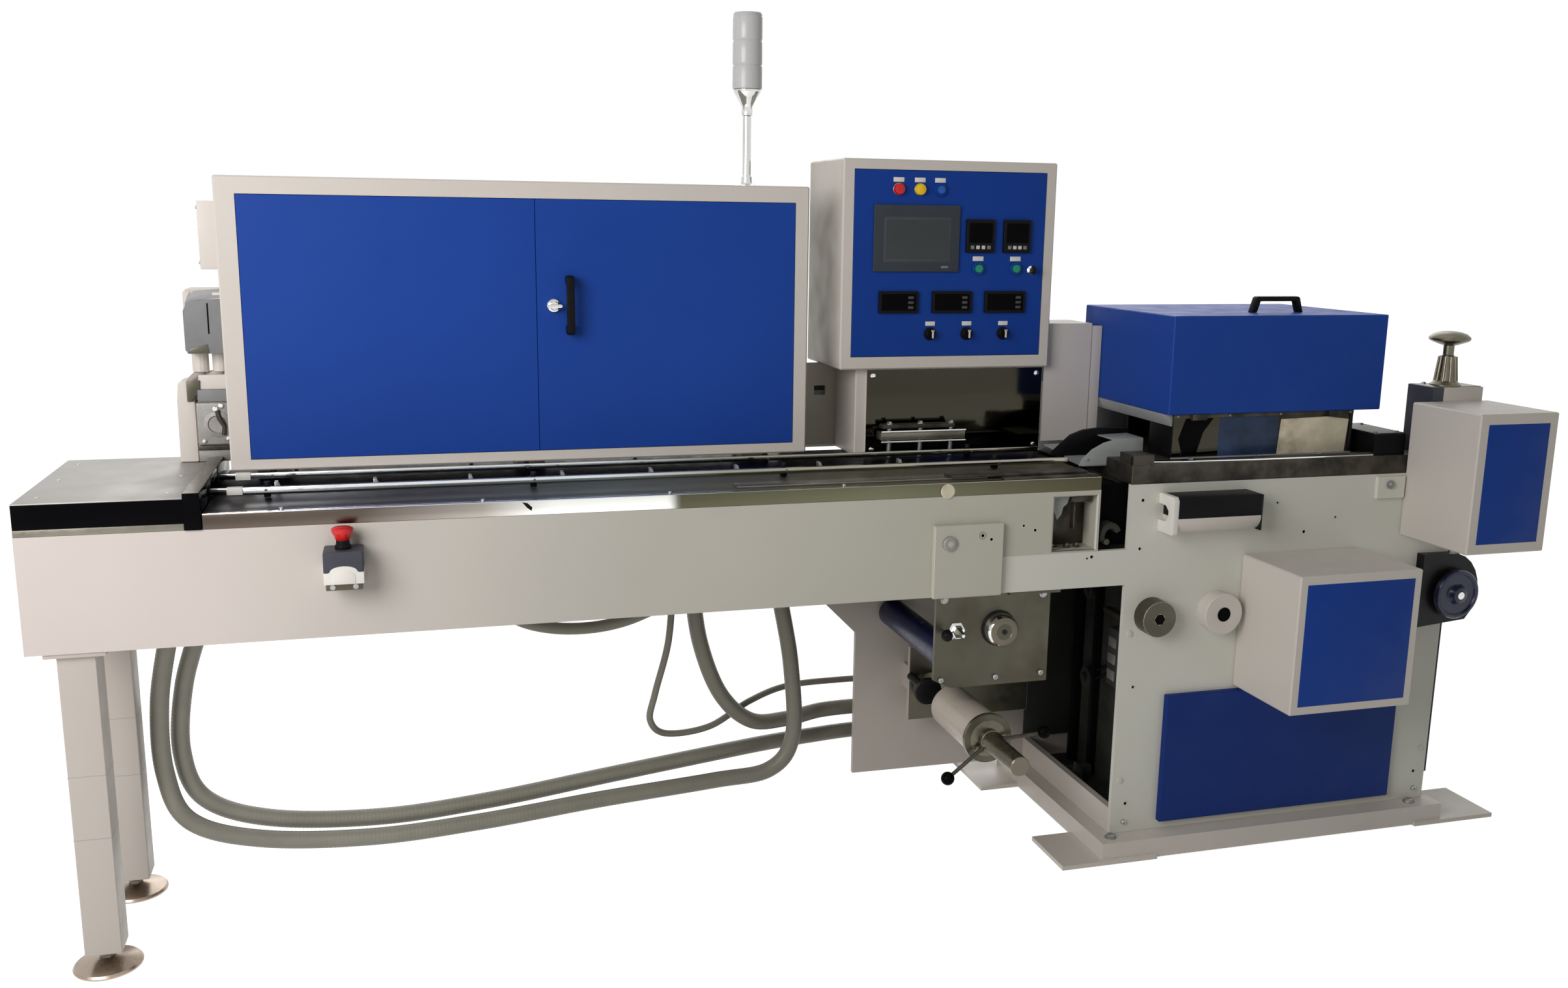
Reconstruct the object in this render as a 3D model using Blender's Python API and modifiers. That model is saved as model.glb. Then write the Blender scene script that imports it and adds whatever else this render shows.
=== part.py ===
"""Horizontal form-fill-seal wrapping machine: infeed conveyor, cabinet, control box, sealing head."""

import math

import bmesh
import bpy
from mathutils import Euler, Matrix, Vector

# ---------------------------------------------------------------- driving sizes, metres
GAP = 0.0003              # clearance between neighbouring pieces

# infeed conveyor, from its tail at X = 0
BEAM_LEN = 2.095
BEAM_W = 0.4547
BEAM_TOP = 0.847
BEAM_H = 0.215
BEAM_Z = (BEAM_TOP - BEAM_H, BEAM_TOP)
BEAM_WALL = 0.004
BAR_H = 0.080             # height of the plate's arm that carries the beam end
BAR_TOP = BEAM_Z[0] + BAR_H
BAR_X = BEAM_LEN - 0.229
WINDOW_X = (BEAM_LEN - 0.110, BEAM_LEN - 0.007)
WINDOW_Z = (BAR_TOP + 0.004, BEAM_TOP - 0.011)

COVER_X = 0.276
COVER_TOP = BEAM_TOP + 0.059
FLANGE_T = 0.030
DECK_TOP = BEAM_TOP + 0.029
RAIL_Z = DECK_TOP + 0.018
RAIL_Y = (0.115, 0.266)
SLOT_Y = (0.186, 0.216)

SPROCKET_X = (0.180, BEAM_LEN - 0.075)
SPROCKET_Z = BEAM_TOP - 0.047
CHAIN_R = 0.062
CHAIN_T = 0.008
LUG_H = 0.026
LUG_STEP = 0.184

LEG_W = 0.065
LEG_X = (0.047, 0.047 + LEG_W)
LEG_Y = (0.0145, BEAM_W - 0.1377)
LEG_Z = 0.046

# electrical cabinet, standing on the conveyor
BOX_X = (BEAM_LEN - 0.489, BEAM_LEN + 0.022)
CAB_X = (COVER_X + 0.053, BOX_X[0] - 0.090)
CAB_Y = (0.279, 0.560)
CAB_H = 0.573
CAB_Z = (DECK_TOP + 0.026, DECK_TOP + 0.026 + CAB_H)
CAB_FRAME = (0.038, 0.030, 0.022, 0.034)   # left, right, bottom, top borders
CAB_SEAM = CAB_X[0] + 0.5105 * (CAB_X[1] - CAB_X[0])
DOOR_T = 0.018
DOOR_SLIT = 0.0009
TOWER = (CAB_X[1] - 0.104, CAB_Y[0] + 0.141)
TOWER_POLE_H = 0.206

# control box and its column
BOX_Y = (0.325, 0.578)
BOX_Z = (BEAM_TOP + 0.230, BEAM_TOP + 0.692)
PANEL_X = (BOX_X[0] + 0.025, BOX_X[1] - 0.024)
PANEL_Z = (BOX_Z[0] + 0.028, BOX_Z[1] - 0.022)
COLUMN_X = (BOX_X[0] + 0.047, BEAM_LEN + 0.145)
COLUMN_Y = (0.350, 0.510)
COLUMN_TOP = BEAM_TOP + 0.328

# machine head: two side plates on a base
HEAD_X = BEAM_LEN + 0.072
HEAD_LEN = 0.845
PLATE_X = (HEAD_X, HEAD_X + HEAD_LEN)
PLATE_T = 0.012
BASE_H = 0.048
PLATE_Z = (BASE_H + 0.0005, BEAM_TOP + 0.008)
REAR_Y = BEAM_W + GAP
REAR_X = HEAD_X - 0.463
REAR_CHAMFER = 0.214
BASE_X = (HEAD_X - 0.040, PLATE_X[1] + 0.020)
BASE_Y = (-0.046, REAR_Y + 0.065)
FOOT_PLATE_T = 0.010
FOOT_X = ((HEAD_X - 0.140, HEAD_X + 0.095), (PLATE_X[1] - 0.057, PLATE_X[1] + 0.167))
FOOT_Y = ((-0.0525, 0.103), (REAR_Y - 0.062, REAR_Y + 0.155))

HEAD_DECK_Z = (PLATE_Z[1] + GAP, PLATE_Z[1] + 0.042)
FRAME_X = (HEAD_X + 0.125, PLATE_X[1] - 0.260)
FRAME_Y = (0.056, REAR_Y - 0.027)
FRAME_TOP = HEAD_DECK_Z[1] + 0.1002
FORMER_Y = (0.110, 0.292)
HOOD_X = (FRAME_X[0] - 0.021, FRAME_X[1] + 0.065)
HOOD_Y = (FRAME_Y[0] - 0.014, FRAME_Y[1] + 0.015)
HOOD_Z = (FRAME_TOP + GAP, FRAME_TOP + 0.2158)
HOOD_T = 0.003
JAW_X = FRAME_X[1] - 0.192
JAW_Y = (FRAME_Y[0] + 0.054, FRAME_Y[1] - 0.076)   # between the bearing plates
JAW_R = 0.034
JAW_Z = (HEAD_DECK_Z[1] + 0.041, HEAD_DECK_Z[1] + 0.115)

UPPER_X = (PLATE_X[1] - 0.144, PLATE_X[1] + 0.062)
UPPER_Z = (PLATE_Z[1] - 0.145, PLATE_Z[1] + 0.1635)
LOWER_X = (HEAD_X + 0.290, PLATE_X[1] - 0.249)
LOWER_Z = (0.379, 0.686)
MOTOR_FRONT = -0.209
SERVICE_X = (HEAD_X + 0.115, PLATE_X[1] - 0.113)
SERVICE_Z = (0.070, 0.372)
WHEEL_Z = UPPER_Z[0] - 0.140
WHEEL_R = 0.059

# film unwind, between the head's plates and under the conveyor
UNWIND_T = 0.010
UNWIND_Y = (0.066, 0.066 + UNWIND_T)
UNWIND_X = (HEAD_X - 0.415, HEAD_X - 0.145)
UNWIND_Z = (BEAM_Z[0] - 0.2283, BEAM_Z[0] - GAP)
REEL = (HEAD_X - 0.309, UNWIND_Z[0] - 0.0987)   # bobbin shaft axis, X and Z
REEL_R = 0.050
SHAFT_R = 0.0145
BRACKET_Y = (REAR_Y - 0.083, REAR_Y - 0.071)
NIP_BLUE = (HEAD_X - 0.375, BEAM_Z[0] - 0.162, 0.034)
NIP_STEEL = (HEAD_X - 0.253, BEAM_Z[0] - 0.104, 0.032)

HOSE_R = 0.019
SAG_HOSE_R = 0.013
THIN_HOSE_R = 0.008

CENTRE = (FOOT_X[1][1] / 2, (MOTOR_FRONT + FOOT_Y[1][1]) / 2)   # the model's origin

BLUE_BODY = (0.020, 0.055, 0.300)
CREAM = (0.640, 0.610, 0.560)
STEEL = (0.560, 0.560, 0.550)
DARK_STEEL = (0.120, 0.115, 0.105)
BLACK = (0.012, 0.012, 0.014)
HOSE_GREY = (0.130, 0.135, 0.120)

# ---------------------------------------------------------------- scene set-up
for old in list(bpy.data.objects):
    bpy.data.objects.remove(old, do_unlink=True)

model = bpy.data.collections.new("flow_wrapper")
helpers = bpy.data.collections.new("cutters")
bpy.context.scene.collection.children.link(model)
bpy.context.scene.collection.children.link(helpers)
helpers.hide_render = True
helper_count = 0


def paint(name, colour, metal=0.0, rough=0.5):
    mat = bpy.data.materials.new(name)
    mat.use_nodes = True
    shader = mat.node_tree.nodes["Principled BSDF"]
    shader.inputs["Base Color"].default_value = (*colour, 1.0)
    shader.inputs["Metallic"].default_value = metal
    shader.inputs["Roughness"].default_value = rough
    mat.diffuse_color = (*colour, 1.0)
    return mat


LOOKS = {
    "cream": (CREAM, 0.0, 0.45),
    "blue": (BLUE_BODY, 0.0, 0.40),
    "steel": (STEEL, 1.0, 0.30),
    "dark_steel": (DARK_STEEL, 0.8, 0.40),
    "black": (BLACK, 0.0, 0.45),
    "hose": (HOSE_GREY, 0.0, 0.60),
    "chrome": ((0.75, 0.75, 0.75), 1.0, 0.10),
    "rubber": ((0.012, 0.020, 0.085), 0.0, 0.55),
    "red": ((0.55, 0.02, 0.02), 0.0, 0.40),
    "green": ((0.01, 0.28, 0.16), 0.0, 0.40),
    "film": ((0.72, 0.69, 0.65), 0.0, 0.50),
    "lens": ((0.60, 0.60, 0.62), 0.0, 0.30),
    "screen": ((0.035, 0.040, 0.045), 0.0, 0.25),
    "grey": ((0.30, 0.30, 0.29), 0.0, 0.45),
}


# ---------------------------------------------------------------- shape makers
AXIS_TURN = {"X": (0, math.pi / 2, 0), "Y": (-math.pi / 2, 0, 0), "Z": (0, 0, 0)}
OUTLINE_TURN = {"X": (math.pi / 2, 0, math.pi / 2), "Y": (math.pi / 2, 0, 0), "Z": (0, 0, 0)}


def settle(obj, look, keep):
    """Puts a shape in the model with its own material, or among the helpers."""
    global helper_count
    (model if keep else helpers).objects.link(obj)
    if keep:
        obj.data.materials.append(paint(obj.name + "_paint", *LOOKS[look]))
    else:
        helper_count += 1
        obj.hide_render = True
        obj.display_type = "WIRE"
    return obj


def soften(obj, width):
    if width:
        mod = obj.modifiers.new("edges", "BEVEL")
        mod.width = width
        mod.segments = 1
        mod.limit_method = "ANGLE"
        mod.angle_limit = math.radians(50)
    return obj


def local(spot):
    return Vector((spot[0] - CENTRE[0], spot[1] - CENTRE[1], spot[2]))


def solid(bm, name, look, origin, keep):
    """An object from geometry in machine coordinates, with its origin at the given spot."""
    if origin is None:
        lows = [min(v.co[i] for v in bm.verts) for i in range(3)]
        highs = [max(v.co[i] for v in bm.verts) for i in range(3)]
        origin = [(a + b) / 2 for a, b in zip(lows, highs)]
    bmesh.ops.translate(bm, verts=bm.verts, vec=-Vector(origin))
    mesh = bpy.data.meshes.new(name)
    bm.to_mesh(mesh)
    bm.free()
    obj = bpy.data.objects.new(name, mesh)
    obj.location = local(origin)
    return settle(obj, look, keep)


def box(name, look, x, y, z, bevel=0.0, origin=None, keep=True):
    bm = bmesh.new()
    size = Matrix.Diagonal((x[1] - x[0], y[1] - y[0], z[1] - z[0], 1))
    bmesh.ops.create_cube(bm, size=1.0, matrix=Matrix.Translation((mid(x), mid(y), mid(z))) @ size)
    return soften(solid(bm, name, look, origin, keep), bevel)


def rod(name, look, axis, start, radius, length, sides=20, origin=None, keep=True):
    bm = bmesh.new()
    turn = Euler(AXIS_TURN[axis]).to_matrix().to_4x4()
    place = Matrix.Translation(start) @ turn @ Matrix.Translation((0, 0, length / 2))
    bmesh.ops.create_cone(bm, cap_ends=True, segments=sides, radius1=radius, radius2=radius,
                          depth=length, matrix=place)
    for face in bm.faces:
        face.smooth = len(face.verts) == 4
    return solid(bm, name, look, origin, keep)


def lathe(name, look, axis, base, profile, sides=24, origin=None, keep=True, sleeve=False):
    """Screws (radius, height) pairs round an axis through base; a sleeve's profile is a closed loop."""
    points = list(profile)
    if not sleeve:
        points = [(0, h) for r, h in points[:1] if r] + points + [(0, h) for r, h in points[-1:] if r]
    lean = sum(a[0] * b[1] - b[0] * a[1] for a, b in zip(points, points[1:] + points[:1]))
    if lean > 0:
        points.reverse()
    origin = base if origin is None else origin
    shift = (Vector(base) - Vector(origin))["XYZ".index(axis)]
    bm = bmesh.new()
    verts = [bm.verts.new((r, 0, h + shift)) for r, h in points]
    for a, b in zip(verts, verts[1:] + (verts[:1] if sleeve else [])):
        bm.edges.new((a, b))
    mesh = bpy.data.meshes.new(name)
    bm.to_mesh(mesh)
    bm.free()
    obj = bpy.data.objects.new(name, mesh)
    obj.location = local(origin)
    obj.rotation_euler = AXIS_TURN[axis]
    mod = obj.modifiers.new("turn", "SCREW")
    mod.angle = 2 * math.pi
    mod.steps = mod.render_steps = sides
    mod.use_merge_vertices = True
    mod.merge_threshold = 0.00001
    mod.use_smooth_shade = True
    return settle(obj, look, keep)


def prism(name, look, axis, outline, span, bevel=0.0, origin=None, keep=True):
    """Extrudes an outline along axis. For Y the outline is (x, z), for X (y, z), for Z (x, y)."""
    curve = bpy.data.curves.new(name, "CURVE")
    curve.dimensions = "2D"
    curve.fill_mode = "BOTH"
    curve.extrude = abs(span[1] - span[0]) / 2
    spline = curve.splines.new("POLY")
    spline.points.add(len(outline) - 1)
    spline.use_cyclic_u = True
    for point, (u, v) in zip(spline.points, outline):
        point.co = (u, v, 0, 1)
    sketch = bpy.data.objects.new(name + "_sketch", curve)
    helpers.objects.link(sketch)
    mesh = bpy.data.meshes.new_from_object(sketch.evaluated_get(bpy.context.evaluated_depsgraph_get()))
    bpy.data.objects.remove(sketch, do_unlink=True)
    bm = bmesh.new()
    bm.from_mesh(mesh)
    bmesh.ops.remove_doubles(bm, verts=bm.verts, dist=0.000001)
    bmesh.ops.dissolve_limit(bm, angle_limit=0.001, verts=bm.verts, edges=bm.edges)
    turn = Euler(OUTLINE_TURN[axis]).to_matrix().to_4x4()
    push = Vector([mid(span) if letter == axis else 0 for letter in "XYZ"])
    bmesh.ops.transform(bm, verts=bm.verts, matrix=Matrix.Translation(push) @ turn)
    bmesh.ops.recalc_face_normals(bm, faces=bm.faces)
    return soften(solid(bm, name, look, origin, keep), bevel)


def ball(spot, radius, origin):
    bm = bmesh.new()
    bmesh.ops.create_uvsphere(bm, u_segments=12, v_segments=8, radius=radius, matrix=Matrix.Translation(spot))
    return solid(bm, f"helper_{helper_count}", None, origin, False)


def combine(obj, other, operation):
    mod = obj.modifiers.new(operation.lower(), "BOOLEAN")
    mod.operation = operation
    mod.solver = "EXACT"
    mod.object = other


def cut(obj, *others):
    for other in others:
        combine(obj, other, "DIFFERENCE")


def fuse(obj, *others):
    for other in others:
        combine(obj, other, "UNION")


def hbox(x, y, z, bevel=0.0):
    return box(f"helper_{helper_count}", None, x, y, z, bevel, keep=False)


def hrod(axis, start, radius, length, sides=20):
    return rod(f"helper_{helper_count}", None, axis, start, radius, length, sides, keep=False)


def hlathe(axis, base, profile, sides=20, sleeve=False):
    return lathe(f"helper_{helper_count}", None, axis, base, profile, sides, keep=False, sleeve=sleeve)


def hprism(axis, outline, span):
    return prism(f"helper_{helper_count}", None, axis, outline, span, keep=False)


def mid(pair):
    return (pair[0] + pair[1]) / 2


# ---------------------------------------------------------------- infeed conveyor
def conveyor():
    inner = BEAM_WALL
    top = BEAM_Z[1] + 0.02
    beam = box("conveyor_beam", "cream", (0, BAR_X - GAP), (0, BEAM_W), BEAM_Z)
    fuse(beam, hbox((BAR_X - 0.02, BEAM_LEN), (0, BEAM_W), (BAR_TOP + GAP, BEAM_Z[1])))
    cut(
        beam,
        hbox((inner, BAR_X - GAP - inner), (inner, BEAM_W - inner), (BEAM_Z[0] + inner, top)),
        hbox((BAR_X - 0.06, BEAM_LEN - inner), (inner, BEAM_W - inner), (BAR_TOP + GAP + inner, top)),
        hbox(WINDOW_X, (-0.01, 0.02), WINDOW_Z),
    )
    plate = box("joint_plate", "cream", (BAR_X - 0.156, BAR_X), (-0.0153, -GAP),
                (BEAM_Z[0], BEAM_Z[0] + 0.156), 0.002)
    fuse(plate, hlathe("Y", (BAR_X - 0.123, -0.0143, BEAM_Z[0] + 0.118),
                       [(0.016, 0), (0.016, -0.004), (0.012, -0.006)], 16))

    cover = box("tail_cover", "dark_steel", (0, COVER_X), (0, BEAM_W), (BEAM_Z[1] + GAP, COVER_TOP), 0.002)
    cut(cover, hbox((0.004, COVER_X + 0.1), (0.004, BEAM_W - 0.004), (BEAM_Z[1] - 0.01, COVER_TOP - 0.004)))
    flange_y = (-0.005, BEAM_W + 0.005)
    low, high = BEAM_Z[1] + GAP, COVER_TOP + 0.010
    outline = [(flange_y[0], low), (flange_y[1], low), (flange_y[1], high), (flange_y[0], high)]
    fuse(cover, hprism("X", outline, (COVER_X - 0.002, COVER_X + FLANGE_T)))
    cut(cover, hbox((COVER_X - 0.03, COVER_X + 0.05), (SLOT_Y[0] - 0.036, SLOT_Y[1] + 0.036),
                    (BEAM_Z[1] - 0.01, COVER_TOP - 0.008)))

    deck_x = (COVER_X + FLANGE_T + GAP, BEAM_LEN)
    deck = box("conveyor_deck", "dark_steel", deck_x, (0, BEAM_W), (BEAM_Z[1] + GAP, DECK_TOP))
    cut(
        deck,
        hbox((deck_x[0] + 0.004, deck_x[1] - 0.004), (0.004, BEAM_W - 0.004), (BEAM_Z[1] - 0.05, DECK_TOP - 0.004)),
        hbox((deck_x[0] - 0.01, SPROCKET_X[1] + 0.060), SLOT_Y, (BEAM_Z[1] - 0.05, DECK_TOP + 0.02)),
    )


def guide_rails():
    rail_x = (COVER_X + FLANGE_T + GAP, BEAM_LEN - 0.023)
    for name, y in (("guide_rail_front", RAIL_Y[0]), ("guide_rail_rear", RAIL_Y[1])):
        rail = box(name, "chrome", rail_x, (y - 0.005, y + 0.005), (RAIL_Z - 0.006, RAIL_Z + 0.006), 0.001)
        for share in (0.057, 0.340, 0.634, 0.906):
            x = rail_x[0] + share * (rail_x[1] - rail_x[0])
            fuse(rail, hbox((x - 0.010, x + 0.010), (y - 0.030, y - 0.003), (RAIL_Z - 0.003, RAIL_Z + 0.003)))
            fuse(rail, hbox((x - 0.008, x + 0.008), (y - 0.034, y - 0.020), (DECK_TOP + GAP, RAIL_Z + 0.014)))


def racetrack(radius, segments=16):
    """A loop round both sprocket centres, as (x, z) points."""
    points = []
    for centre, start in ((SPROCKET_X[1], -90), (SPROCKET_X[0], 90)):
        for i in range(segments + 1):
            turn = math.radians(start + 180 * i / segments)
            points.append((centre + radius * math.cos(turn), SPROCKET_Z + radius * math.sin(turn)))
    return points


def chain_and_sprockets():
    middle = mid(SLOT_Y)
    span = (middle - 0.006, middle + 0.006)
    chain = prism("infeed_chain", "dark_steel", "Y", racetrack(CHAIN_R + CHAIN_T), span)
    cut(chain, hprism("Y", racetrack(CHAIN_R), (span[0] - 0.01, span[1] + 0.01)))
    first = COVER_X + 0.144
    count = int((SPROCKET_X[1] + 0.02 - first) / LUG_STEP)
    for i in range(count):
        x = first + LUG_STEP * i
        low = SPROCKET_Z + CHAIN_R + CHAIN_T - 0.002
        fuse(chain, hbox((x - 0.005, x + 0.005), (middle - 0.009, middle + 0.009), (low, low + LUG_H)))
    for name, x in (("tail_sprocket", SPROCKET_X[0]), ("drive_sprocket", SPROCKET_X[1])):
        wall = BEAM_WALL + GAP
        centre = (x, 0, SPROCKET_Z)
        profile = [
            (0.012, wall), (0.012, middle - 0.020), (0.022, middle - 0.020), (0.022, middle - 0.007),
            (CHAIN_R - 0.0007, middle - 0.007), (CHAIN_R - 0.0007, middle + 0.007), (0.022, middle + 0.007),
            (0.022, middle + 0.020), (0.012, middle + 0.020), (0.012, BEAM_W - wall),
        ]
        lathe(name, "steel", "Y", centre, profile, 24, origin=(x, middle, SPROCKET_Z))


def legs():
    for name, y in (("leg_front", LEG_Y[0]), ("leg_rear", LEG_Y[1])):
        leg = box(name, "cream", LEG_X, (y, y + LEG_W), (LEG_Z, BEAM_Z[0] - 0.008), 0.003)
        plate_x = (LEG_X[0] - 0.020, LEG_X[1] + 0.020)
        plate_y = (max(y - 0.012, 0.002), y + LEG_W + 0.020)
        fuse(leg, hbox(plate_x, plate_y, (BEAM_Z[0] - 0.009, BEAM_Z[0] - GAP)))
        centre = (mid(LEG_X), y + LEG_W / 2, 0)
        profile = [(0.060, 0), (0.062, 0.003), (0.056, 0.009), (0.030, 0.015), (0.014, 0.019),
                   (0.014, 0.026), (0.009, 0.027), (0.009, 0.036), (0.015, 0.036), (0.015, LEG_Z + 0.002)]
        fuse(leg, hlathe("Z", centre, profile, 24))


# ---------------------------------------------------------------- cabinet and tower
def cabinet():
    left, right, bottom, top = CAB_FRAME
    open_x = (CAB_X[0] + left, CAB_X[1] - right)
    open_z = (CAB_Z[0] + bottom, CAB_Z[1] - top)
    shell = box("cabinet_shell", "cream", CAB_X, CAB_Y, CAB_Z, 0.003)
    inner_x = (CAB_X[0] + 0.004, CAB_X[1] - 0.004)
    inner_z = (CAB_Z[0] + 0.004, CAB_Z[1] - 0.004)
    cut(
        shell,
        hbox(inner_x, (CAB_Y[0] + DOOR_T + 0.006, CAB_Y[1] - 0.004), inner_z),
        hbox(open_x, (CAB_Y[0] - 0.01, CAB_Y[0] + DOOR_T + 0.010), open_z),
    )
    for x in (CAB_X[0] + 0.071, mid(CAB_X), CAB_X[1] - 0.096):
        fuse(shell, hbox((x - 0.03, x + 0.03), (CAB_Y[0] + 0.081, CAB_Y[0] + 0.171), (DECK_TOP + GAP, CAB_Z[0] + 0.002)))
    seam = DOOR_SLIT / 2
    door_y = (CAB_Y[0], CAB_Y[0] + DOOR_T)
    door_z = (open_z[0] + DOOR_SLIT, open_z[1] - DOOR_SLIT)
    left_x = (open_x[0] + DOOR_SLIT, CAB_SEAM - seam)
    right_x = (CAB_SEAM + seam, open_x[1] - DOOR_SLIT)
    for name, x, hinge in (("cabinet_door_left", left_x, left_x[0]), ("cabinet_door_right", right_x, right_x[1])):
        box(name, "blue", x, door_y, door_z, 0.001, origin=(hinge, door_y[0], mid(door_z)))

    hx, hz = CAB_SEAM + 0.066, (CAB_Z[0] + 0.263, CAB_Z[0] + 0.388)
    face = door_y[0] - GAP
    handle = box("door_handle", "black", (hx - 0.009, hx + 0.009), (face - 0.034, face - 0.024), hz, 0.003)
    for z in (hz[0] + 0.012, hz[1] - 0.012):
        fuse(handle, hbox((hx - 0.007, hx + 0.007), (face - 0.026, face), (z - 0.008, z + 0.008)))
    centre = (CAB_SEAM + 0.034, face, CAB_Z[0] + 0.324)
    lock = lathe("door_lock", "chrome", "Y", centre, [(0.015, 0), (0.014, -0.006), (0.009, -0.010), (0.009, -0.018)])
    x, z = centre[0], centre[2]
    fuse(lock, hbox((x - 0.016, x + 0.016), (face - 0.026, face - 0.016), (z - 0.0035, z + 0.0035), 0.001))

    pole = (TOWER[0], TOWER[1], CAB_Z[1] + GAP)
    lathe("tower_pole", "chrome", "Z", pole,
          [(0.026, 0), (0.026, 0.004), (0.012, 0.008), (0.012, TOWER_POLE_H - 0.031),
           (0.013, TOWER_POLE_H - 0.026), (0.030, TOWER_POLE_H)], 20)
    lens = (pole[0], pole[1], pole[2] + TOWER_POLE_H + GAP)
    lathe("tower_lens", "lens", "Z", lens,
          [(0.032, 0), (0.0325, 0.050), (0.0315, 0.051), (0.0325, 0.052), (0.0325, 0.102), (0.0315, 0.103),
           (0.0325, 0.104), (0.0325, 0.152), (0.030, 0.160), (0.012, 0.163)], 20)
    side_boxes(shell)


def side_boxes(shell):
    """Junction boxes on the cabinet's left wall and the gearbox on the tail cover."""
    x, y, z = CAB_X[0], CAB_Y[0], CAB_Z[0]
    wall = x + 0.002
    fuse(shell, hbox((x - 0.033, wall), (y + 0.026, y + 0.126), (z + 0.395, z + 0.524), 0.002))
    fuse(shell, hbox((x - 0.077, wall), (y + 0.071, y + 0.161), (z + 0.228, z + 0.354), 0.006))
    for step, radius in ((0.057, 0.016), (0.021, 0.014)):
        fuse(shell, hrod("Z", (x - step, y + 0.116, z + 0.188), radius, 0.050, 14))
    x, y, z = COVER_X, BEAM_W, COVER_TOP
    gear = box("tail_gearbox", "grey", (x - 0.018, x + 0.042), (y - 0.083, y - 0.010), (z + 0.034, z + 0.169), 0.005)
    fuse(gear, hrod("X", (x - 0.046, y - 0.047, z + 0.104), 0.026, 0.030, 16))
    fuse(gear, hbox((x - 0.018, x - 0.004), (y - 0.075, y - 0.015), (z + GAP, z + 0.039)))
    fuse(gear, hbox((x - 0.080, x - 0.044), (y - 0.075, y - 0.015), (z + GAP, z + 0.156), 0.003))
    fuse(gear, hbox((x - 0.076, x - 0.0385), (y - 0.071, y - 0.019), (z + 0.149, z + 0.178)))


def control_station():
    column = box("control_column", "cream", (COLUMN_X[0], BOX_X[1]), COLUMN_Y, (DECK_TOP + GAP, BOX_Z[0] - GAP), 0.002)
    side = (COLUMN_Y[0] + 0.002, COLUMN_Y[1] - 0.042)
    fuse(column, hbox((BOX_X[1] + 0.003, COLUMN_X[1]), (COLUMN_Y[0], COLUMN_Y[1] - 0.040), (HEAD_DECK_Z[1] + GAP, COLUMN_TOP)))
    fuse(column, hbox((BEAM_LEN - 0.095, BEAM_LEN), side, (DECK_TOP + GAP, BOX_Z[0] - 0.037)))
    fuse(column, hbox((BEAM_LEN - 0.005, BEAM_LEN + 0.035), side, (HEAD_DECK_Z[1] + GAP, BOX_Z[0] - 0.037)))
    fuse(column, hbox((CAB_X[1] + 0.0005, COLUMN_X[0] + 0.027), (COLUMN_Y[1] - 0.012, COLUMN_Y[1] - 0.002),
                      (DECK_TOP + GAP, BOX_Z[0] - 0.001)))
    cut(column, hbox((BOX_X[0] - 0.006, BOX_X[0] + 0.022), (COLUMN_Y[1] - 0.020, COLUMN_Y[1] + 0.010),
                     (BOX_Z[0] - 0.077, BOX_Z[0] - 0.055)))
    fuse(column, hbox((COLUMN_X[0] + 0.025, BOX_X[1] - 0.003), (COLUMN_Y[0] - 0.004, COLUMN_Y[0] + 0.002),
                      (DECK_TOP + 0.002, BOX_Z[0] - 0.003)))

    shell = box("control_box", "cream", BOX_X, BOX_Y, BOX_Z, 0.003)
    cut(
        shell,
        hbox((BOX_X[0] + 0.004, BOX_X[1] - 0.004), (BOX_Y[0] + DOOR_T + 0.008, BOX_Y[1] - 0.004),
             (BOX_Z[0] + 0.004, BOX_Z[1] - 0.004)),
        hbox(PANEL_X, (BOX_Y[0] - 0.01, BOX_Y[0] + DOOR_T + 0.012), PANEL_Z),
    )
    slit = DOOR_SLIT
    door_x = (PANEL_X[0] + slit, PANEL_X[1] - slit)
    door_z = (PANEL_Z[0] + slit, PANEL_Z[1] - slit)
    door = box("control_door", "blue", door_x, (BOX_Y[0], BOX_Y[0] + DOOR_T), door_z, 0.001,
               origin=(door_x[0], BOX_Y[0], mid(door_z)))
    face = BOX_Y[0] - GAP
    px, pz = PANEL_X[0], PANEL_Z[0]
    hmi = box("hmi_unit", "black", (px + 0.046, px + 0.251), (face - 0.007, face), (pz + 0.189, pz + 0.337), 0.002)
    cut(hmi, hbox((px + 0.075, px + 0.224), (face - 0.01, face - 0.005), (pz + 0.218, pz + 0.304)))
    for name, x, z in (("blue_button", px + 0.201, pz + 0.370), ("green_button_left", px + 0.299, pz + 0.1975),
                       ("green_button_right", px + 0.391, pz + 0.1975)):
        look = "blue" if name == "blue_button" else "green"
        ring = [(0.0145, 0.002), (0.0145, -0.005), (0.0130, -0.007), (0.0102, -0.007), (0.0102, 0.002)]
        fuse(door, hlathe("Y", (x, BOX_Y[0], z), ring, 18, True))
        profile = [(0.0095, -0.0045), (0.0095, -0.0105), (0.008, -0.0115)]
        lathe(name, look, "Y", (x, BOX_Y[0], z), profile, 18, origin=(x, BOX_Y[0] - 0.0045, z))
    for i, x in enumerate((px + 0.188, px + 0.277, px + 0.367)):
        name = f"selector_{i + 1}"
        knob = lathe(name, "black", "Y", (x, face, pz + 0.051), [(0.0145, 0), (0.0145, -0.004), (0.012, -0.007)], 18)
        fuse(knob, hbox((x - 0.0035, x + 0.0035), (face - 0.020, face - 0.005), (pz + 0.0405, pz + 0.0615)))
    x, z = px + 0.431, pz + 0.194
    lock = lathe("panel_lock", "chrome", "Y", (x, face, z), [(0.010, 0), (0.010, -0.004), (0.006, -0.006)], 16)
    fuse(lock, hbox((x - 0.002, x + 0.002), (face - 0.020, face - 0.005), (z - 0.013, z + 0.011)))


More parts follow.
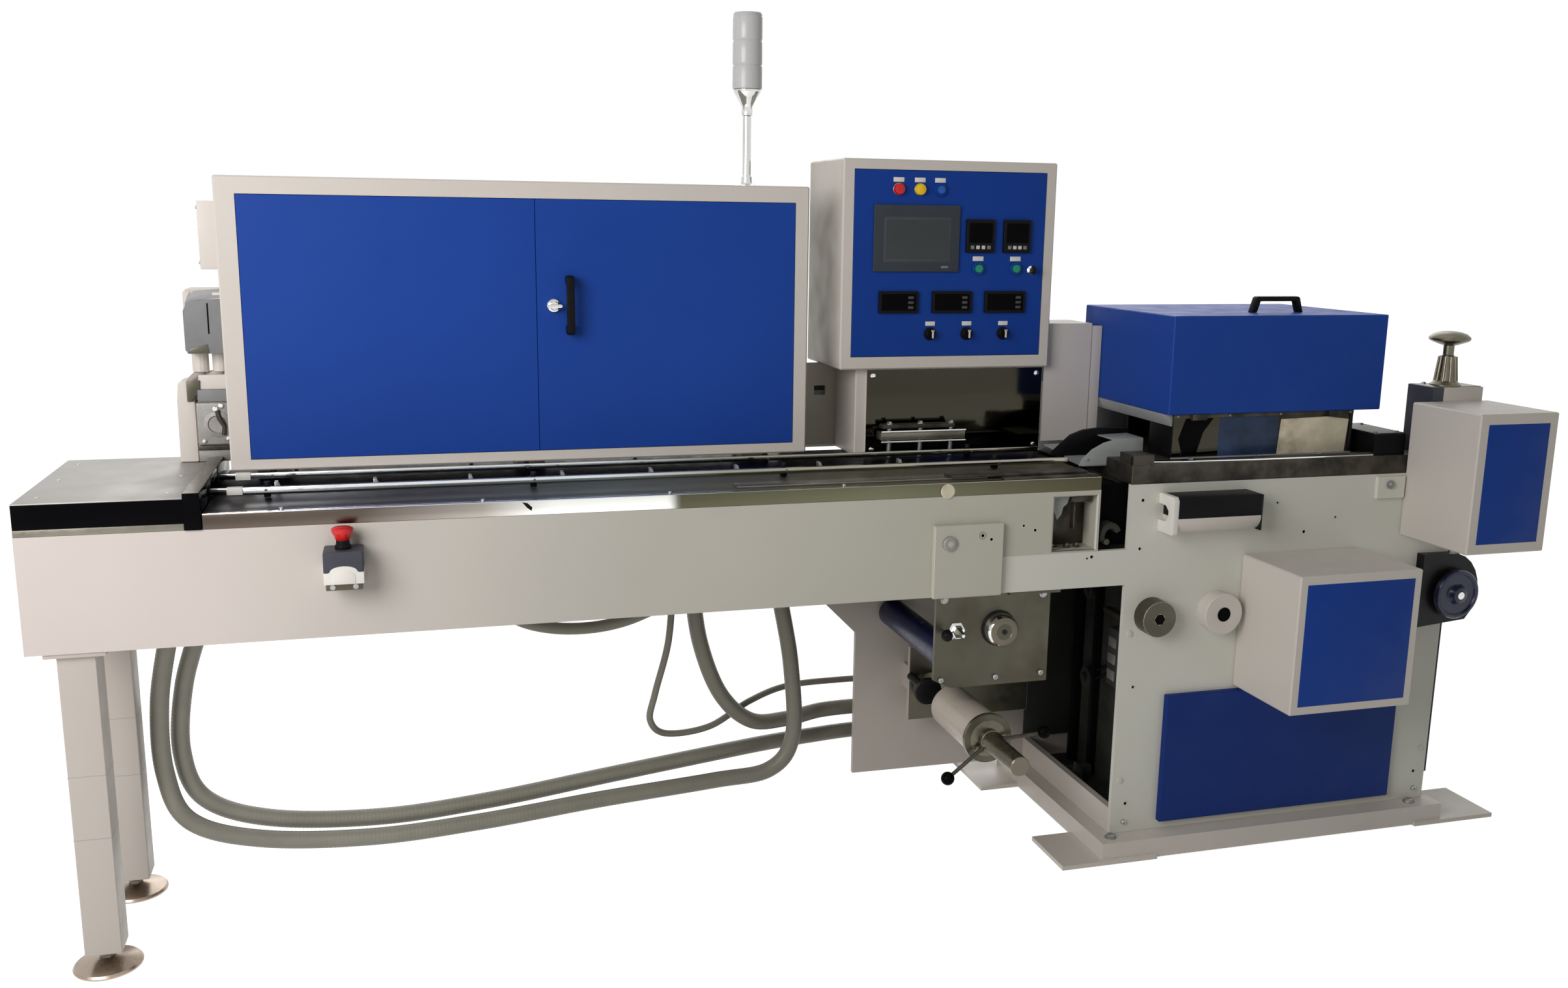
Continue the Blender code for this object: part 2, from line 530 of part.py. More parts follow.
def emergency_stop():
    x, z, front = (COVER_X + 0.235, COVER_X + 0.305), (BEAM_Z[1] - 0.111, BEAM_Z[1] - 0.039), -0.063
    body = box("estop_box", "grey", x, (front, -GAP), z, 0.004)
    fuse(body, hlathe("Z", (mid(x), front / 2, z[1] - 0.002), [(0.015, 0), (0.015, 0.008), (0.013, 0.010)], 20))
    cut(body, hrod("Z", (mid(x), front / 2, z[1] - 0.006), 0.0095, 0.030))
    top = z[1] - 0.001
    lathe("estop_button", "red", "Z", (mid(x), front / 2, top),
          [(0.009, 0), (0.009, 0.020), (0.019, 0.025), (0.020, 0.033), (0.017, 0.039), (0.010, 0.041)], 20)


# ---------------------------------------------------------------- machine head
def base_and_plates():
    base = box("base_frame", "cream", BASE_X, BASE_Y, (0.002, BASE_H))
    cut(base, hbox((BASE_X[0] + 0.060, BASE_X[1] - 0.060), (BASE_Y[0] + 0.066, BASE_Y[1] - 0.060), (-0.01, 0.10)))
    fuse(base, hbox((PLATE_X[0], PLATE_X[0] + 0.016), (PLATE_T + GAP, REAR_Y - GAP), (0.040, 0.106)))
    for x in FOOT_X:
        for y in FOOT_Y:
            fuse(base, hbox(x, y, (0, FOOT_PLATE_T)))

    z0, z1 = PLATE_Z
    arm = (BEAM_Z[0], BAR_TOP)
    outline = [(PLATE_X[0], z0), (PLATE_X[1], z0), (PLATE_X[1], z1), (PLATE_X[0], z1), (PLATE_X[0], arm[1]),
               (BAR_X, arm[1]), (BAR_X, arm[0]), (PLATE_X[0], arm[0])]
    front = prism("front_plate", "cream", "Y", outline, (0, PLATE_T))
    for x, r, depth in ((HEAD_X + 0.067, 0.040, 0.040), (HEAD_X + 0.229, 0.046, 0.036)):
        z = BEAM_Z[0] - 0.072
        fuse(front, hrod("Y", (x, -depth, z), r, depth + PLATE_T / 2, 24))
        cut(front, hrod("Y", (x, -0.060, z), 0.012, 0.040, 16))
    fuse(front, hbox((PLATE_X[1] - 0.222, PLATE_X[1] - 0.150), (-0.010, 0.004), (z1 - 0.055, z1 - 0.005)))
    fuse(front, hbox((HEAD_X + 0.133, HEAD_X + 0.141), (PLATE_T - 0.002, REAR_Y - GAP), (0.070, z1 - 0.055)))

    low = REAR_X - REAR_CHAMFER
    outline = [(REAR_X, z0 + 0.0065), (PLATE_X[1], z0), (PLATE_X[1], z1), (low, z1), (low, BEAM_Z[0]),
               (REAR_X, BEAM_Z[0] - REAR_CHAMFER)]
    rear = prism("rear_plate", "cream", "Y", outline, (REAR_Y, REAR_Y + PLATE_T))
    x, z = REEL
    fuse(rear, hbox((x - 0.043, x + 0.272), BRACKET_Y, (z - 0.090, z + 0.095)))
    for left, low in ((x - 0.028, z - 0.030), (x + 0.202, z + 0.025)):
        fuse(rear, hbox((left, left + 0.054), (BRACKET_Y[1] - 0.004, REAR_Y + 0.002), (low, low + 0.060)))

    guard = box("end_guard", "black", (PLATE_X[1] + GAP, PLATE_X[1] + 0.016), (PLATE_T, REAR_Y - 0.015),
                (BASE_H + 0.060, z1 - 0.005))
    edge = PLATE_X[1]
    outline = []
    for i in range(9):
        turn = math.radians(80 - 130 * i / 8)
        outline.append((edge - 0.007 + 0.080 * math.cos(turn), WHEEL_Z + 0.002 + 0.092 * math.sin(turn)))
    outline += [(edge - 0.087, WHEEL_Z - 0.080), (edge - 0.087, WHEEL_Z + 0.094)]
    fuse(guard, hprism("Y", outline, (-0.024, -GAP)),
         hbox((edge + 0.004, edge + 0.030), (-0.002, 0.030), (WHEEL_Z - 0.060, WHEEL_Z + 0.090)))
    wheel = (edge - 0.002, -0.024 - GAP, WHEEL_Z)
    lathe("handwheel", "rubber", "Y", wheel,
          [(0.020, 0), (0.020, -0.008), (WHEEL_R - 0.003, -0.010), (WHEEL_R, -0.016), (WHEEL_R, -0.028),
           (WHEEL_R - 0.007, -0.034), (0.016, -0.031)], 28)


def sealing_head():
    low, top = HEAD_DECK_Z
    deck = box("sealing_deck", "dark_steel", PLATE_X, (0.0, REAR_Y + PLATE_T), HEAD_DECK_Z, 0.0015)
    fuse(deck, hbox((PLATE_X[0] + 0.002, PLATE_X[0] + 0.052), (0.002, 0.060), (top - 0.007, top + 0.021)))
    fuse(deck, hbox((PLATE_X[1] - 0.228, PLATE_X[1] - 0.146), (0.010, 0.165), (top - 0.007, top + 0.048)))

    frame = box("sealing_frame", "steel", FRAME_X, FRAME_Y, (top + GAP, FRAME_TOP))
    cut(
        frame,
        hbox((FRAME_X[0] + 0.005, FRAME_X[1] - 0.005), (FRAME_Y[0] + 0.005, FRAME_Y[1] - 0.005),
             (top + 0.004, FRAME_TOP + 0.02)),
        hbox((FRAME_X[0] + 0.030, FRAME_X[0] + 0.140), (FRAME_Y[0] - 0.01, FRAME_Y[0] + 0.02),
             (top + 0.015, top + 0.083)),
        hbox((FRAME_X[0] - 0.01, FRAME_X[1] + 0.01), (0.150, 0.255), (top + 0.011, top + 0.078)),
    )
    for y in ((JAW_Y[0] - 0.012, JAW_Y[0]), (JAW_Y[1], JAW_Y[1] + 0.012)):
        fuse(frame, hbox((JAW_X - 0.060, JAW_X + 0.060), y, (top + 0.002, FRAME_TOP + 0.071)))
    for x in (FRAME_X[0] + 0.058, FRAME_X[1] - 0.052):
        for y in ((HOOD_Y[0] + GAP, FRAME_Y[0] + 0.002), (FRAME_Y[1] - 0.002, HOOD_Y[1])):
            fuse(frame, hbox((x - 0.018, x + 0.018), y, (FRAME_TOP - 0.013, FRAME_TOP)))
    for name, z in (("lower_jaw", JAW_Z[0]), ("upper_jaw", JAW_Z[1])):
        start, end = JAW_Y[0] + GAP, JAW_Y[1] - GAP
        jaw = lathe(name, "steel", "Y", (JAW_X, 0, z), [(0.014, start), (0.014, end)], 16,
                    origin=(JAW_X, mid((start, end)), z))
        fuse(jaw, hbox((JAW_X - 0.010, JAW_X + 0.010), (start + 0.008, end - 0.008), (z - JAW_R, z + JAW_R)))
    hood = box("hood", "blue", HOOD_X, HOOD_Y, HOOD_Z, 0.002, origin=(mid(HOOD_X), HOOD_Y[1], HOOD_Z[0]))
    cut(hood, hbox((HOOD_X[0] + HOOD_T, HOOD_X[1] - HOOD_T), (HOOD_Y[0] + HOOD_T, HOOD_Y[1] - HOOD_T),
                   (HOOD_Z[0] - 0.01, HOOD_Z[1] - HOOD_T)))
    foot = HOOD_Z[1] + GAP
    x, y = mid(HOOD_X) + 0.044, HOOD_Y[0] + 0.098
    outline = [(x - 0.067, foot), (x - 0.055, foot + 0.036), (x + 0.055, foot + 0.036), (x + 0.067, foot),
               (x + 0.055, foot), (x + 0.045, foot + 0.026), (x - 0.045, foot + 0.026), (x - 0.055, foot)]
    prism("hood_handle", "black", "Y", outline, (y - 0.009, y + 0.009), 0.001)

    x = HEAD_X
    under = low + 0.0232
    former = prism("film_former", "film", "Y",
                   [(x - 0.055, under), (x - 0.045, top - 0.011), (x + 0.029, top + 0.027),
                    (x + 0.099, top + 0.027), (x + 0.099, top + 0.0012), (x - 0.007, top + 0.0012)], FORMER_Y)
    cut(former, hprism("Y", [(x - 0.075, top - 0.0313), (x - 0.049, top - 0.018), (x + 0.031, top + 0.021),
                             (x + 0.12, top + 0.021), (x + 0.12, top - 0.040), (x - 0.075, top - 0.040)],
                       (FORMER_Y[0] + 0.006, FORMER_Y[1] - 0.006)))
    fuse(former, hprism("Y", [(x - 0.067, top + 0.0005), (x - 0.017, top + 0.038), (x + 0.019, top + 0.044),
                              (x + 0.055, top + 0.093), (x + 0.101, top + 0.093), (x + 0.101, top + 0.0005)],
                        (FORMER_Y[1] - 0.001, FORMER_Y[1] + 0.005)))


def covers():
    for name, x, z in (("upper_motor_cover", UPPER_X, UPPER_Z), ("lower_motor_cover", LOWER_X, LOWER_Z)):
        back = -GAP
        cover = box(name, "cream", x, (MOTOR_FRONT, back), z, 0.003)
        cut(cover, hbox((x[0] + 0.004, x[1] - 0.004), (MOTOR_FRONT + 0.008, back + 0.02), (z[0] + 0.004, z[1] - 0.004)))
        side = 0.030
        cut(cover, hbox((x[0] + side, x[1] - side), (MOTOR_FRONT - 0.01, MOTOR_FRONT + 0.0015),
                        (z[0] + side, z[1] - side)))
    box("service_cover", "blue", SERVICE_X, (-0.0163, -GAP), SERVICE_Z, 0.002)
    base = box("knob_base", "dark_steel", (PLATE_X[1] - 0.090, PLATE_X[1] + 0.048), (0.001, 0.085),
               (HEAD_DECK_Z[1] + GAP, HEAD_DECK_Z[1] + 0.153), 0.002)
    post = (PLATE_X[1] - 0.029, 0.036, HEAD_DECK_Z[1] + 0.151)
    fuse(base, hlathe("Z", post, [(0.034, 0), (0.022, 0.012), (0.018, 0.070)], 18))
    lathe("height_knob", "dark_steel", "Z", (post[0], post[1], post[2] + 0.070 + GAP),
          [(0.013, 0), (0.013, 0.026), (0.040, 0.034), (0.045, 0.041), (0.036, 0.051), (0.012, 0.057)], 24)
    z = PLATE_Z[1]
    sensor = prism("profile_box", "black", "X",
                   [(-GAP, z - 0.060), (-0.030, z - 0.060), (-0.040, z - 0.083), (-0.062, z - 0.083),
                    (-0.062, z - 0.055), (-0.050, z - 0.029), (-0.020, z - 0.019), (-GAP, z - 0.019)],
                   (HEAD_X + 0.071, HEAD_X + 0.289), 0.001)
    fuse(sensor, hbox((HEAD_X + 0.069, HEAD_X + 0.095), (-0.020, -GAP), (z - 0.103, z - 0.055)))


def unwind():
    x, z, y = UNWIND_X, UNWIND_Z, UNWIND_Y
    outline = [(x[0], z[1]), (x[1], z[1]), (x[1], z[0]), (x[0] + 0.040, z[0]), (x[0], z[0] + 0.020)]
    plate = prism("unwind_plate", "steel", "Y", outline, y)
    bar_y = (0.020, y[1] + 0.044)
    fuse(plate, hbox((x[0] + 0.150, x[1]), bar_y, (z[1] - 0.012, z[1])))
    fuse(plate, hbox((x[1] - 0.020, x[1]), (y[0] + 0.002, REAR_Y - GAP), (z[1] - 0.030, z[1] - 0.004)))
    fuse(plate, hbox((x[1] - 0.016, x[1]), (y[0] + 0.002, REAR_Y - GAP), (z[0] + 0.006, z[0] + 0.026)))

    rx, rz = REEL
    front, end = -0.160, BRACKET_Y[0]
    shaft = lathe("bobbin_shaft", "steel", "Y", (rx, 0, rz),
                  [(SHAFT_R - 0.002, front), (SHAFT_R, front + 0.003), (SHAFT_R, -0.030), (0.024, -0.026),
                   (0.024, 0.000), (0.055, 0.004), (0.055, 0.016), (SHAFT_R, 0.0165), (SHAFT_R, end - 0.036),
                   (0.040, end - 0.0355), (0.040, end - 0.022), (SHAFT_R, end - 0.021), (SHAFT_R, end - GAP)], 24,
                  origin=(rx, 0.1, rz))
    for turn in (4, 218):
        hub = (rx, -0.013, rz)
        arm = rod(f"helper_{helper_count}", None, "X", (rx + 0.015, hub[1], rz), 0.0045, 0.105, 10, hub, False)
        knob = ball((rx + 0.124, hub[1], rz), 0.015, hub)
        for piece in (arm, knob):
            piece.rotation_euler[1] = -math.radians(turn)
        fuse(shaft, arm, knob)
    lathe("film_roll", "film", "Y", (rx, 0, rz),
          [(SHAFT_R + GAP, 0.0168), (REEL_R, 0.0168), (REEL_R, 0.180), (REEL_R - 0.008, end - 0.0364),
           (SHAFT_R + GAP, end - 0.0364)],
          24, origin=(rx, 0.1, rz), sleeve=True)

    for name, look, (nx, nz, nr) in (("nip_roller_blue", "rubber", NIP_BLUE), ("nip_roller_steel", "steel", NIP_STEEL)):
        lathe(name, look, "Y", (nx, 0, nz),
              [(0.010, UNWIND_Y[1] + GAP), (0.010, 0.092), (nr, 0.094), (nr, REAR_Y - 0.019), (0.010, REAR_Y - 0.017),
               (0.010, REAR_Y - GAP)], 24, origin=(nx, 0.26, nz))
    cap = (NIP_STEEL[0] - 0.014, 0, NIP_STEEL[1] + 0.006)
    fuse(plate, hlathe("Y", cap, [(0.036, y[0] + 0.002), (0.036, 0.040), (0.031, 0.034), (0.010, 0.032)], 24))


def hose(name, points, radius):
    curve = bpy.data.curves.new(name, "CURVE")
    curve.dimensions = "3D"
    curve.bevel_depth = radius
    curve.bevel_resolution = 3
    curve.use_fill_caps = True
    spline = curve.splines.new("POLY")
    spline.points.add(len(points) - 1)
    for spot, (x, y, z) in zip(spline.points, points):
        spot.co = (x - CENTRE[0], y - CENTRE[1], z, 1)
    obj = bpy.data.objects.new(name, curve)
    model.objects.link(obj)
    curve.materials.append(paint(name + "_paint", *LOOKS["hose"]))
    return obj


def smooth(knots, steps=6):
    """Catmull-Rom through the knots, with the first and last stretches left straight."""
    knots = [Vector(k) for k in knots]
    points = [knots[0]]
    for i in range(1, len(knots) - 2):
        a, b, c, d = knots[i - 1:i + 3]
        for k in range(steps):
            t = k / steps
            points.append(0.5 * (2 * b + (c - a) * t + (2 * a - 5 * b + 4 * c - d) * t * t
                                 + (3 * b - a - 3 * c + d) * t ** 3))
    points += knots[-2:]
    return points


# Each hose's knots: X as a share of the run from the leg to the rear plate, Y from the rear plate's
# front face, Z as a share of the height under the beam.
BACK = PLATE_T + GAP
ROUTES = {
    "hose_long_front": (HOSE_R, [
        (0.0415, -0.070, 1), (0.0415, -0.070, 0.902), (0.0214, -0.067, 0.633), (0.0214, -0.069, 0.380),
        (0.0490, -0.075, 0.206), (0.137, -0.075, 0.117), (0.281, -0.075, 0.0823), (0.432, -0.075, 0.098),
        (0.596, -0.075, 0.136), (0.765, -0.075, 0.166), (0.853, -0.075, 0.190), (0.888, -0.075, 0.317),
        (0.884, -0.070, 0.602), (0.8643, -0.070, 0.886), (0.8643, -0.070, 1)]),
    "hose_long_rear": (HOSE_R, [
        (0.0773, -0.030, 1), (0.0773, -0.030, 0.902), (0.0490, -0.030, 0.665), (0.0402, -0.030, 0.427),
        (0.0653, -0.030, 0.253), (0.150, -0.030, 0.158), (0.294, -0.030, 0.1235), (0.445, -0.030, 0.146),
        (0.608, -0.030, 0.196), (0.759, -0.025, 0.2375), (0.859, 0.015, 0.2375), (0.935, 0.060, 0.2216),
        (1.010, 0.075, 0.2216), (1.054, 0.065, 0.2216), (1.0704, 0.035, 0.2216), (1.0704, BACK, 0.2216)]),
    "hose_thick": (HOSE_R, [
        (0.740, -0.030, 1), (0.740, -0.030, 0.902), (0.7525, -0.030, 0.681), (0.784, -0.025, 0.475),
        (0.834, -0.005, 0.348), (0.897, 0.035, 0.3166), (0.960, 0.073, 0.3166), (1.029, 0.080, 0.3166),
        (1.0854, 0.070, 0.3166), (1.1043, 0.040, 0.3166), (1.1043, BACK, 0.3166)]),
    "hose_sag": (SAG_HOSE_R, [
        (0.451, -0.205, 1), (0.451, -0.205, 0.969), (0.482, -0.205, 0.899), (0.526, -0.205, 0.863),
        (0.577, -0.205, 0.855), (0.627, -0.205, 0.874), (0.677, -0.205, 0.9245), (0.6997, -0.205, 0.969),
        (0.6997, -0.205, 1)]),
    "hose_thin": (THIN_HOSE_R, [
        (0.706, -0.070, 1), (0.706, -0.070, 0.902), (0.6997, -0.070, 0.712), (0.681, -0.065, 0.522),
        (0.6746, -0.055, 0.412), (0.702, -0.030, 0.340), (0.771, -0.003, 0.337), (0.8405, 0.045, 0.396),
        (0.9095, 0.097, 0.415), (0.9975, 0.111, 0.415), (1.060, 0.101, 0.415), (1.0829, 0.060, 0.415),
        (1.0829, BACK, 0.415)]),
}


def hoses():
    start, span, top = LEG_X[1], REAR_X - LEG_X[1], BEAM_Z[0] - GAP
    for name, (radius, knots) in ROUTES.items():
        spots = [(start + share * span, REAR_Y + y, rise * top) for share, y, rise in knots]
        hose(name, smooth(spots, 3), radius)


conveyor()
guide_rails()
chain_and_sprockets()
legs()
cabinet()
control_station()
emergency_stop()
base_and_plates()
sealing_head()
covers()
unwind()
hoses()
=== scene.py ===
"""Horizontal form-fill-seal wrapping machine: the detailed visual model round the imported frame."""
import math

import bmesh
import bpy
from mathutils import Euler, Matrix, Vector


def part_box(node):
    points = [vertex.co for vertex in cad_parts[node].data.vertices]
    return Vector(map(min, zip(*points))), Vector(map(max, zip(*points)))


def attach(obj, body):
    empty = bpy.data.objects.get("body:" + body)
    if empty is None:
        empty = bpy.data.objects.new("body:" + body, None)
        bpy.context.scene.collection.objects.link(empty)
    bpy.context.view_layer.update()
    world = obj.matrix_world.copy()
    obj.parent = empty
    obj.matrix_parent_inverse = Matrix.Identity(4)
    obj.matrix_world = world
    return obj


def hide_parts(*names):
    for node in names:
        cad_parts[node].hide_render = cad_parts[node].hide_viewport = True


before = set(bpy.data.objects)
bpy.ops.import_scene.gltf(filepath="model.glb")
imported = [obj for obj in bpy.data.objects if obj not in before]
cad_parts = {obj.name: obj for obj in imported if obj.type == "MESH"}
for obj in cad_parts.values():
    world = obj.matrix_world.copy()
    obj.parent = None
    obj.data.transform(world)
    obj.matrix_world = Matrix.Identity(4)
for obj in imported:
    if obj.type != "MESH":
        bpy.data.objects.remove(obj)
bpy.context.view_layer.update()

# Sizes below are in metres from the infeed end of the beam (X), its front face (Y) and the floor (Z).
SHIFT = Vector((-1.5895, -0.2005, 0.0))  # from there to the shared frame
BEAM_Z = (0.632, 0.847)
BEAM_W = 0.4547
REAR_FACE = 0.467  # the rear plate's back
TAIL_X, DRIVE_X, SPROCKET_Z = 0.18, 2.02, 0.8
DOOR_Y = 0.279
PANEL_Y = 0.325
EPS = 0.0004  # keeps one surface clear of another

# The camera: turned towards the outfeed, tipped down and rolled, in degrees; its lens in mm, and its place.
VIEW_TURN, VIEW_DOWN, VIEW_ROLL = 15.824, 11.37, 0.7685
LENS = 31.315
EYE = Vector((0.659, -2.574, 1.4055))

# The light: the surroundings' strength, the key lamp's watts, side, place and aim, and the floor's own glow.
AMBIENT = 0.15
KEY_WATTS, KEY_SIDE = 76, 1.7
KEY_PLACE, KEY_AIM = Vector((-0.9, -1.9, 2.0)), Vector((0.9, 0.1, 0.9))
FLOOR_GLOW = 0.8


# ---------------------------------------------------------------- camera
def look():
    """The photograph's view: turned towards the outfeed, tipped down and rolled a little."""
    yaw, pitch, roll = [math.radians(angle) for angle in (VIEW_TURN, VIEW_DOWN, VIEW_ROLL)]
    ahead = Vector((math.sin(yaw) * math.cos(pitch), math.cos(yaw) * math.cos(pitch), -math.sin(pitch)))
    right = Vector((math.cos(yaw), -math.sin(yaw), 0))
    up = right.cross(ahead)
    side = right * math.cos(roll) + up * math.sin(roll)
    top = up * math.cos(roll) - right * math.sin(roll)
    data = bpy.data.cameras.new("camera")
    data.sensor_width = 36
    data.lens = LENS
    data.clip_start, data.clip_end = 0.05, 60
    camera = bpy.data.objects.new("camera", data)
    bpy.context.scene.collection.objects.link(camera)
    turn = Matrix((side, top, -ahead)).transposed().to_4x4()
    camera.matrix_world = Matrix.Translation(EYE + SHIFT) @ turn
    bpy.context.scene.camera = camera


# ---------------------------------------------------------------- materials
def linear(colour):
    """A colour of 0 to 255 as the shader's linear values."""
    return tuple((c / 255 / 12.92) if c <= 10 else ((c / 255 + 0.055) / 1.055) ** 2.4 for c in colour)


def tint(colour, factor):
    """The colour made lighter or darker, with its alpha."""
    return (*[min(1.0, c * factor) for c in colour], 1.0)


def set_inputs(node, **values):
    """Sets a shader node's inputs. A space in an input's name is written as an underscore."""
    for name, value in values.items():
        node.inputs[name.replace("_", " ")].default_value = value
    return node


def surface(name, colour, rough=0.45, mottle=0.05, scale=5.0, bump=0.05, grain=900.0, metal=0.0,
        stretch=(1, 1, 1), stain_and_painted_reflection=None, stain_and_reflection_scale=4.0, stain_and_reflection_amount=0.5, coat=0.0, rough_vary=0.08, spec=0.3,
        along=None):
    """A painted, plastic or metal surface with mottled colour, uneven gloss, fine relief and stains; on the
    rear deck the stain pattern carries a painted reflection.

    The order is: name, colour (0 to 255), roughness, how strongly it is mottled and how finely, how strong
    the relief is and how fine. along is a list of (x, tint) that the colour is multiplied by: painted light
    and reflection along the machine's length.
    """
    mat = bpy.data.materials.new(name)
    mat.use_nodes = True
    tree = mat.node_tree
    shader = tree.nodes["Principled BSDF"]
    base = linear(colour)
    set_inputs(shader, Metallic=metal, Coat_Weight=coat, Coat_Roughness=0.12, Specular_IOR_Level=spec)

    coords = tree.nodes.new("ShaderNodeTexCoord")
    squeeze = tree.nodes.new("ShaderNodeMapping")
    squeeze.inputs["Scale"].default_value = stretch
    tree.links.new(coords.outputs["Object"], squeeze.inputs["Vector"])

    def noise(size, detail, source=squeeze):
        node = tree.nodes.new("ShaderNodeTexNoise")
        set_inputs(node, Scale=size, Detail=detail)
        tree.links.new(source.outputs["Vector" if source is squeeze else "Object"], node.inputs["Vector"])
        return node

    def mix(factor, a, b):
        node = tree.nodes.new("ShaderNodeMix")
        node.data_type = "RGBA"
        tree.links.new(factor, node.inputs["Factor"])
        for socket, value in ((node.inputs["A"], a), (node.inputs["B"], b)):
            if isinstance(value, tuple):
                socket.default_value = value
            else:
                tree.links.new(value, socket)
        return node.outputs["Result"]

    def ramp(source, low, high):
        node = tree.nodes.new("ShaderNodeMapRange")
        set_inputs(node, From_Min=low, From_Max=high)
        tree.links.new(source, node.inputs["Value"])
        return node

    broad = noise(scale, 6.0)
    spread = ramp(broad.outputs["Fac"], 0.3, 0.7)
    paint = mix(spread.outputs["Result"], tint(base, 1 - mottle), tint(base, 1 + mottle))
    # stains, and on the rear deck a painted reflection, laid over the paint
    if stain_and_painted_reflection:
        stain_and_reflection_noise = noise(stain_and_reflection_scale, 9.0, coords)
        edge = ramp(stain_and_reflection_noise.outputs["Fac"], 0.66 - 0.22 * stain_and_reflection_amount, 0.8 - 0.1 * stain_and_reflection_amount)
        edge.inputs["To Max"].default_value = stain_and_reflection_amount
        paint = mix(edge.outputs["Result"], paint, (*linear(stain_and_painted_reflection), 1.0))
    # along: painted light and reflection, a tint that changes with X
    if along:
        place = tree.nodes.new("ShaderNodeSeparateXYZ")
        tree.links.new(coords.outputs["Object"], place.inputs["Vector"])
        share = ramp(place.outputs["X"], *[x + SHIFT.x for x in (along[0][0], along[-1][0])])
        tone = tree.nodes.new("ShaderNodeValToRGB")
        stops = tone.color_ramp.elements
        while len(stops) < len(along):
            stops.new(0.5)
        for stop, (x, colour) in zip(stops, along):
            stop.position = (x - along[0][0]) / (along[-1][0] - along[0][0])
            stop.color = (*linear(colour), 1.0)
        tree.links.new(share.outputs["Result"], tone.inputs["Fac"])
        toned = tree.nodes.new("ShaderNodeMix")
        toned.data_type, toned.blend_type = "RGBA", "MULTIPLY"
        toned.inputs["Factor"].default_value = 1.0
        tree.links.new(paint, toned.inputs["A"])
        tree.links.new(tone.outputs["Color"], toned.inputs["B"])
        paint = toned.outputs["Result"]
    tree.links.new(paint, shader.inputs["Base Color"])

    gloss = noise(scale * 7, 4.0)
    shine = ramp(gloss.outputs["Fac"], 0.3, 0.7)
    set_inputs(shine, To_Min=max(0.02, rough - rough_vary), To_Max=min(1.0, rough + rough_vary))
    tree.links.new(shine.outputs["Result"], shader.inputs["Roughness"])

    if bump:
        fine = noise(grain, 2.0)
        relief = tree.nodes.new("ShaderNodeBump")
        set_inputs(relief, Strength=bump, Distance=0.001)
        tree.links.new(fine.outputs["Fac"], relief.inputs["Height"])
        tree.links.new(relief.outputs["Normal"], shader.inputs["Normal"])
    return mat


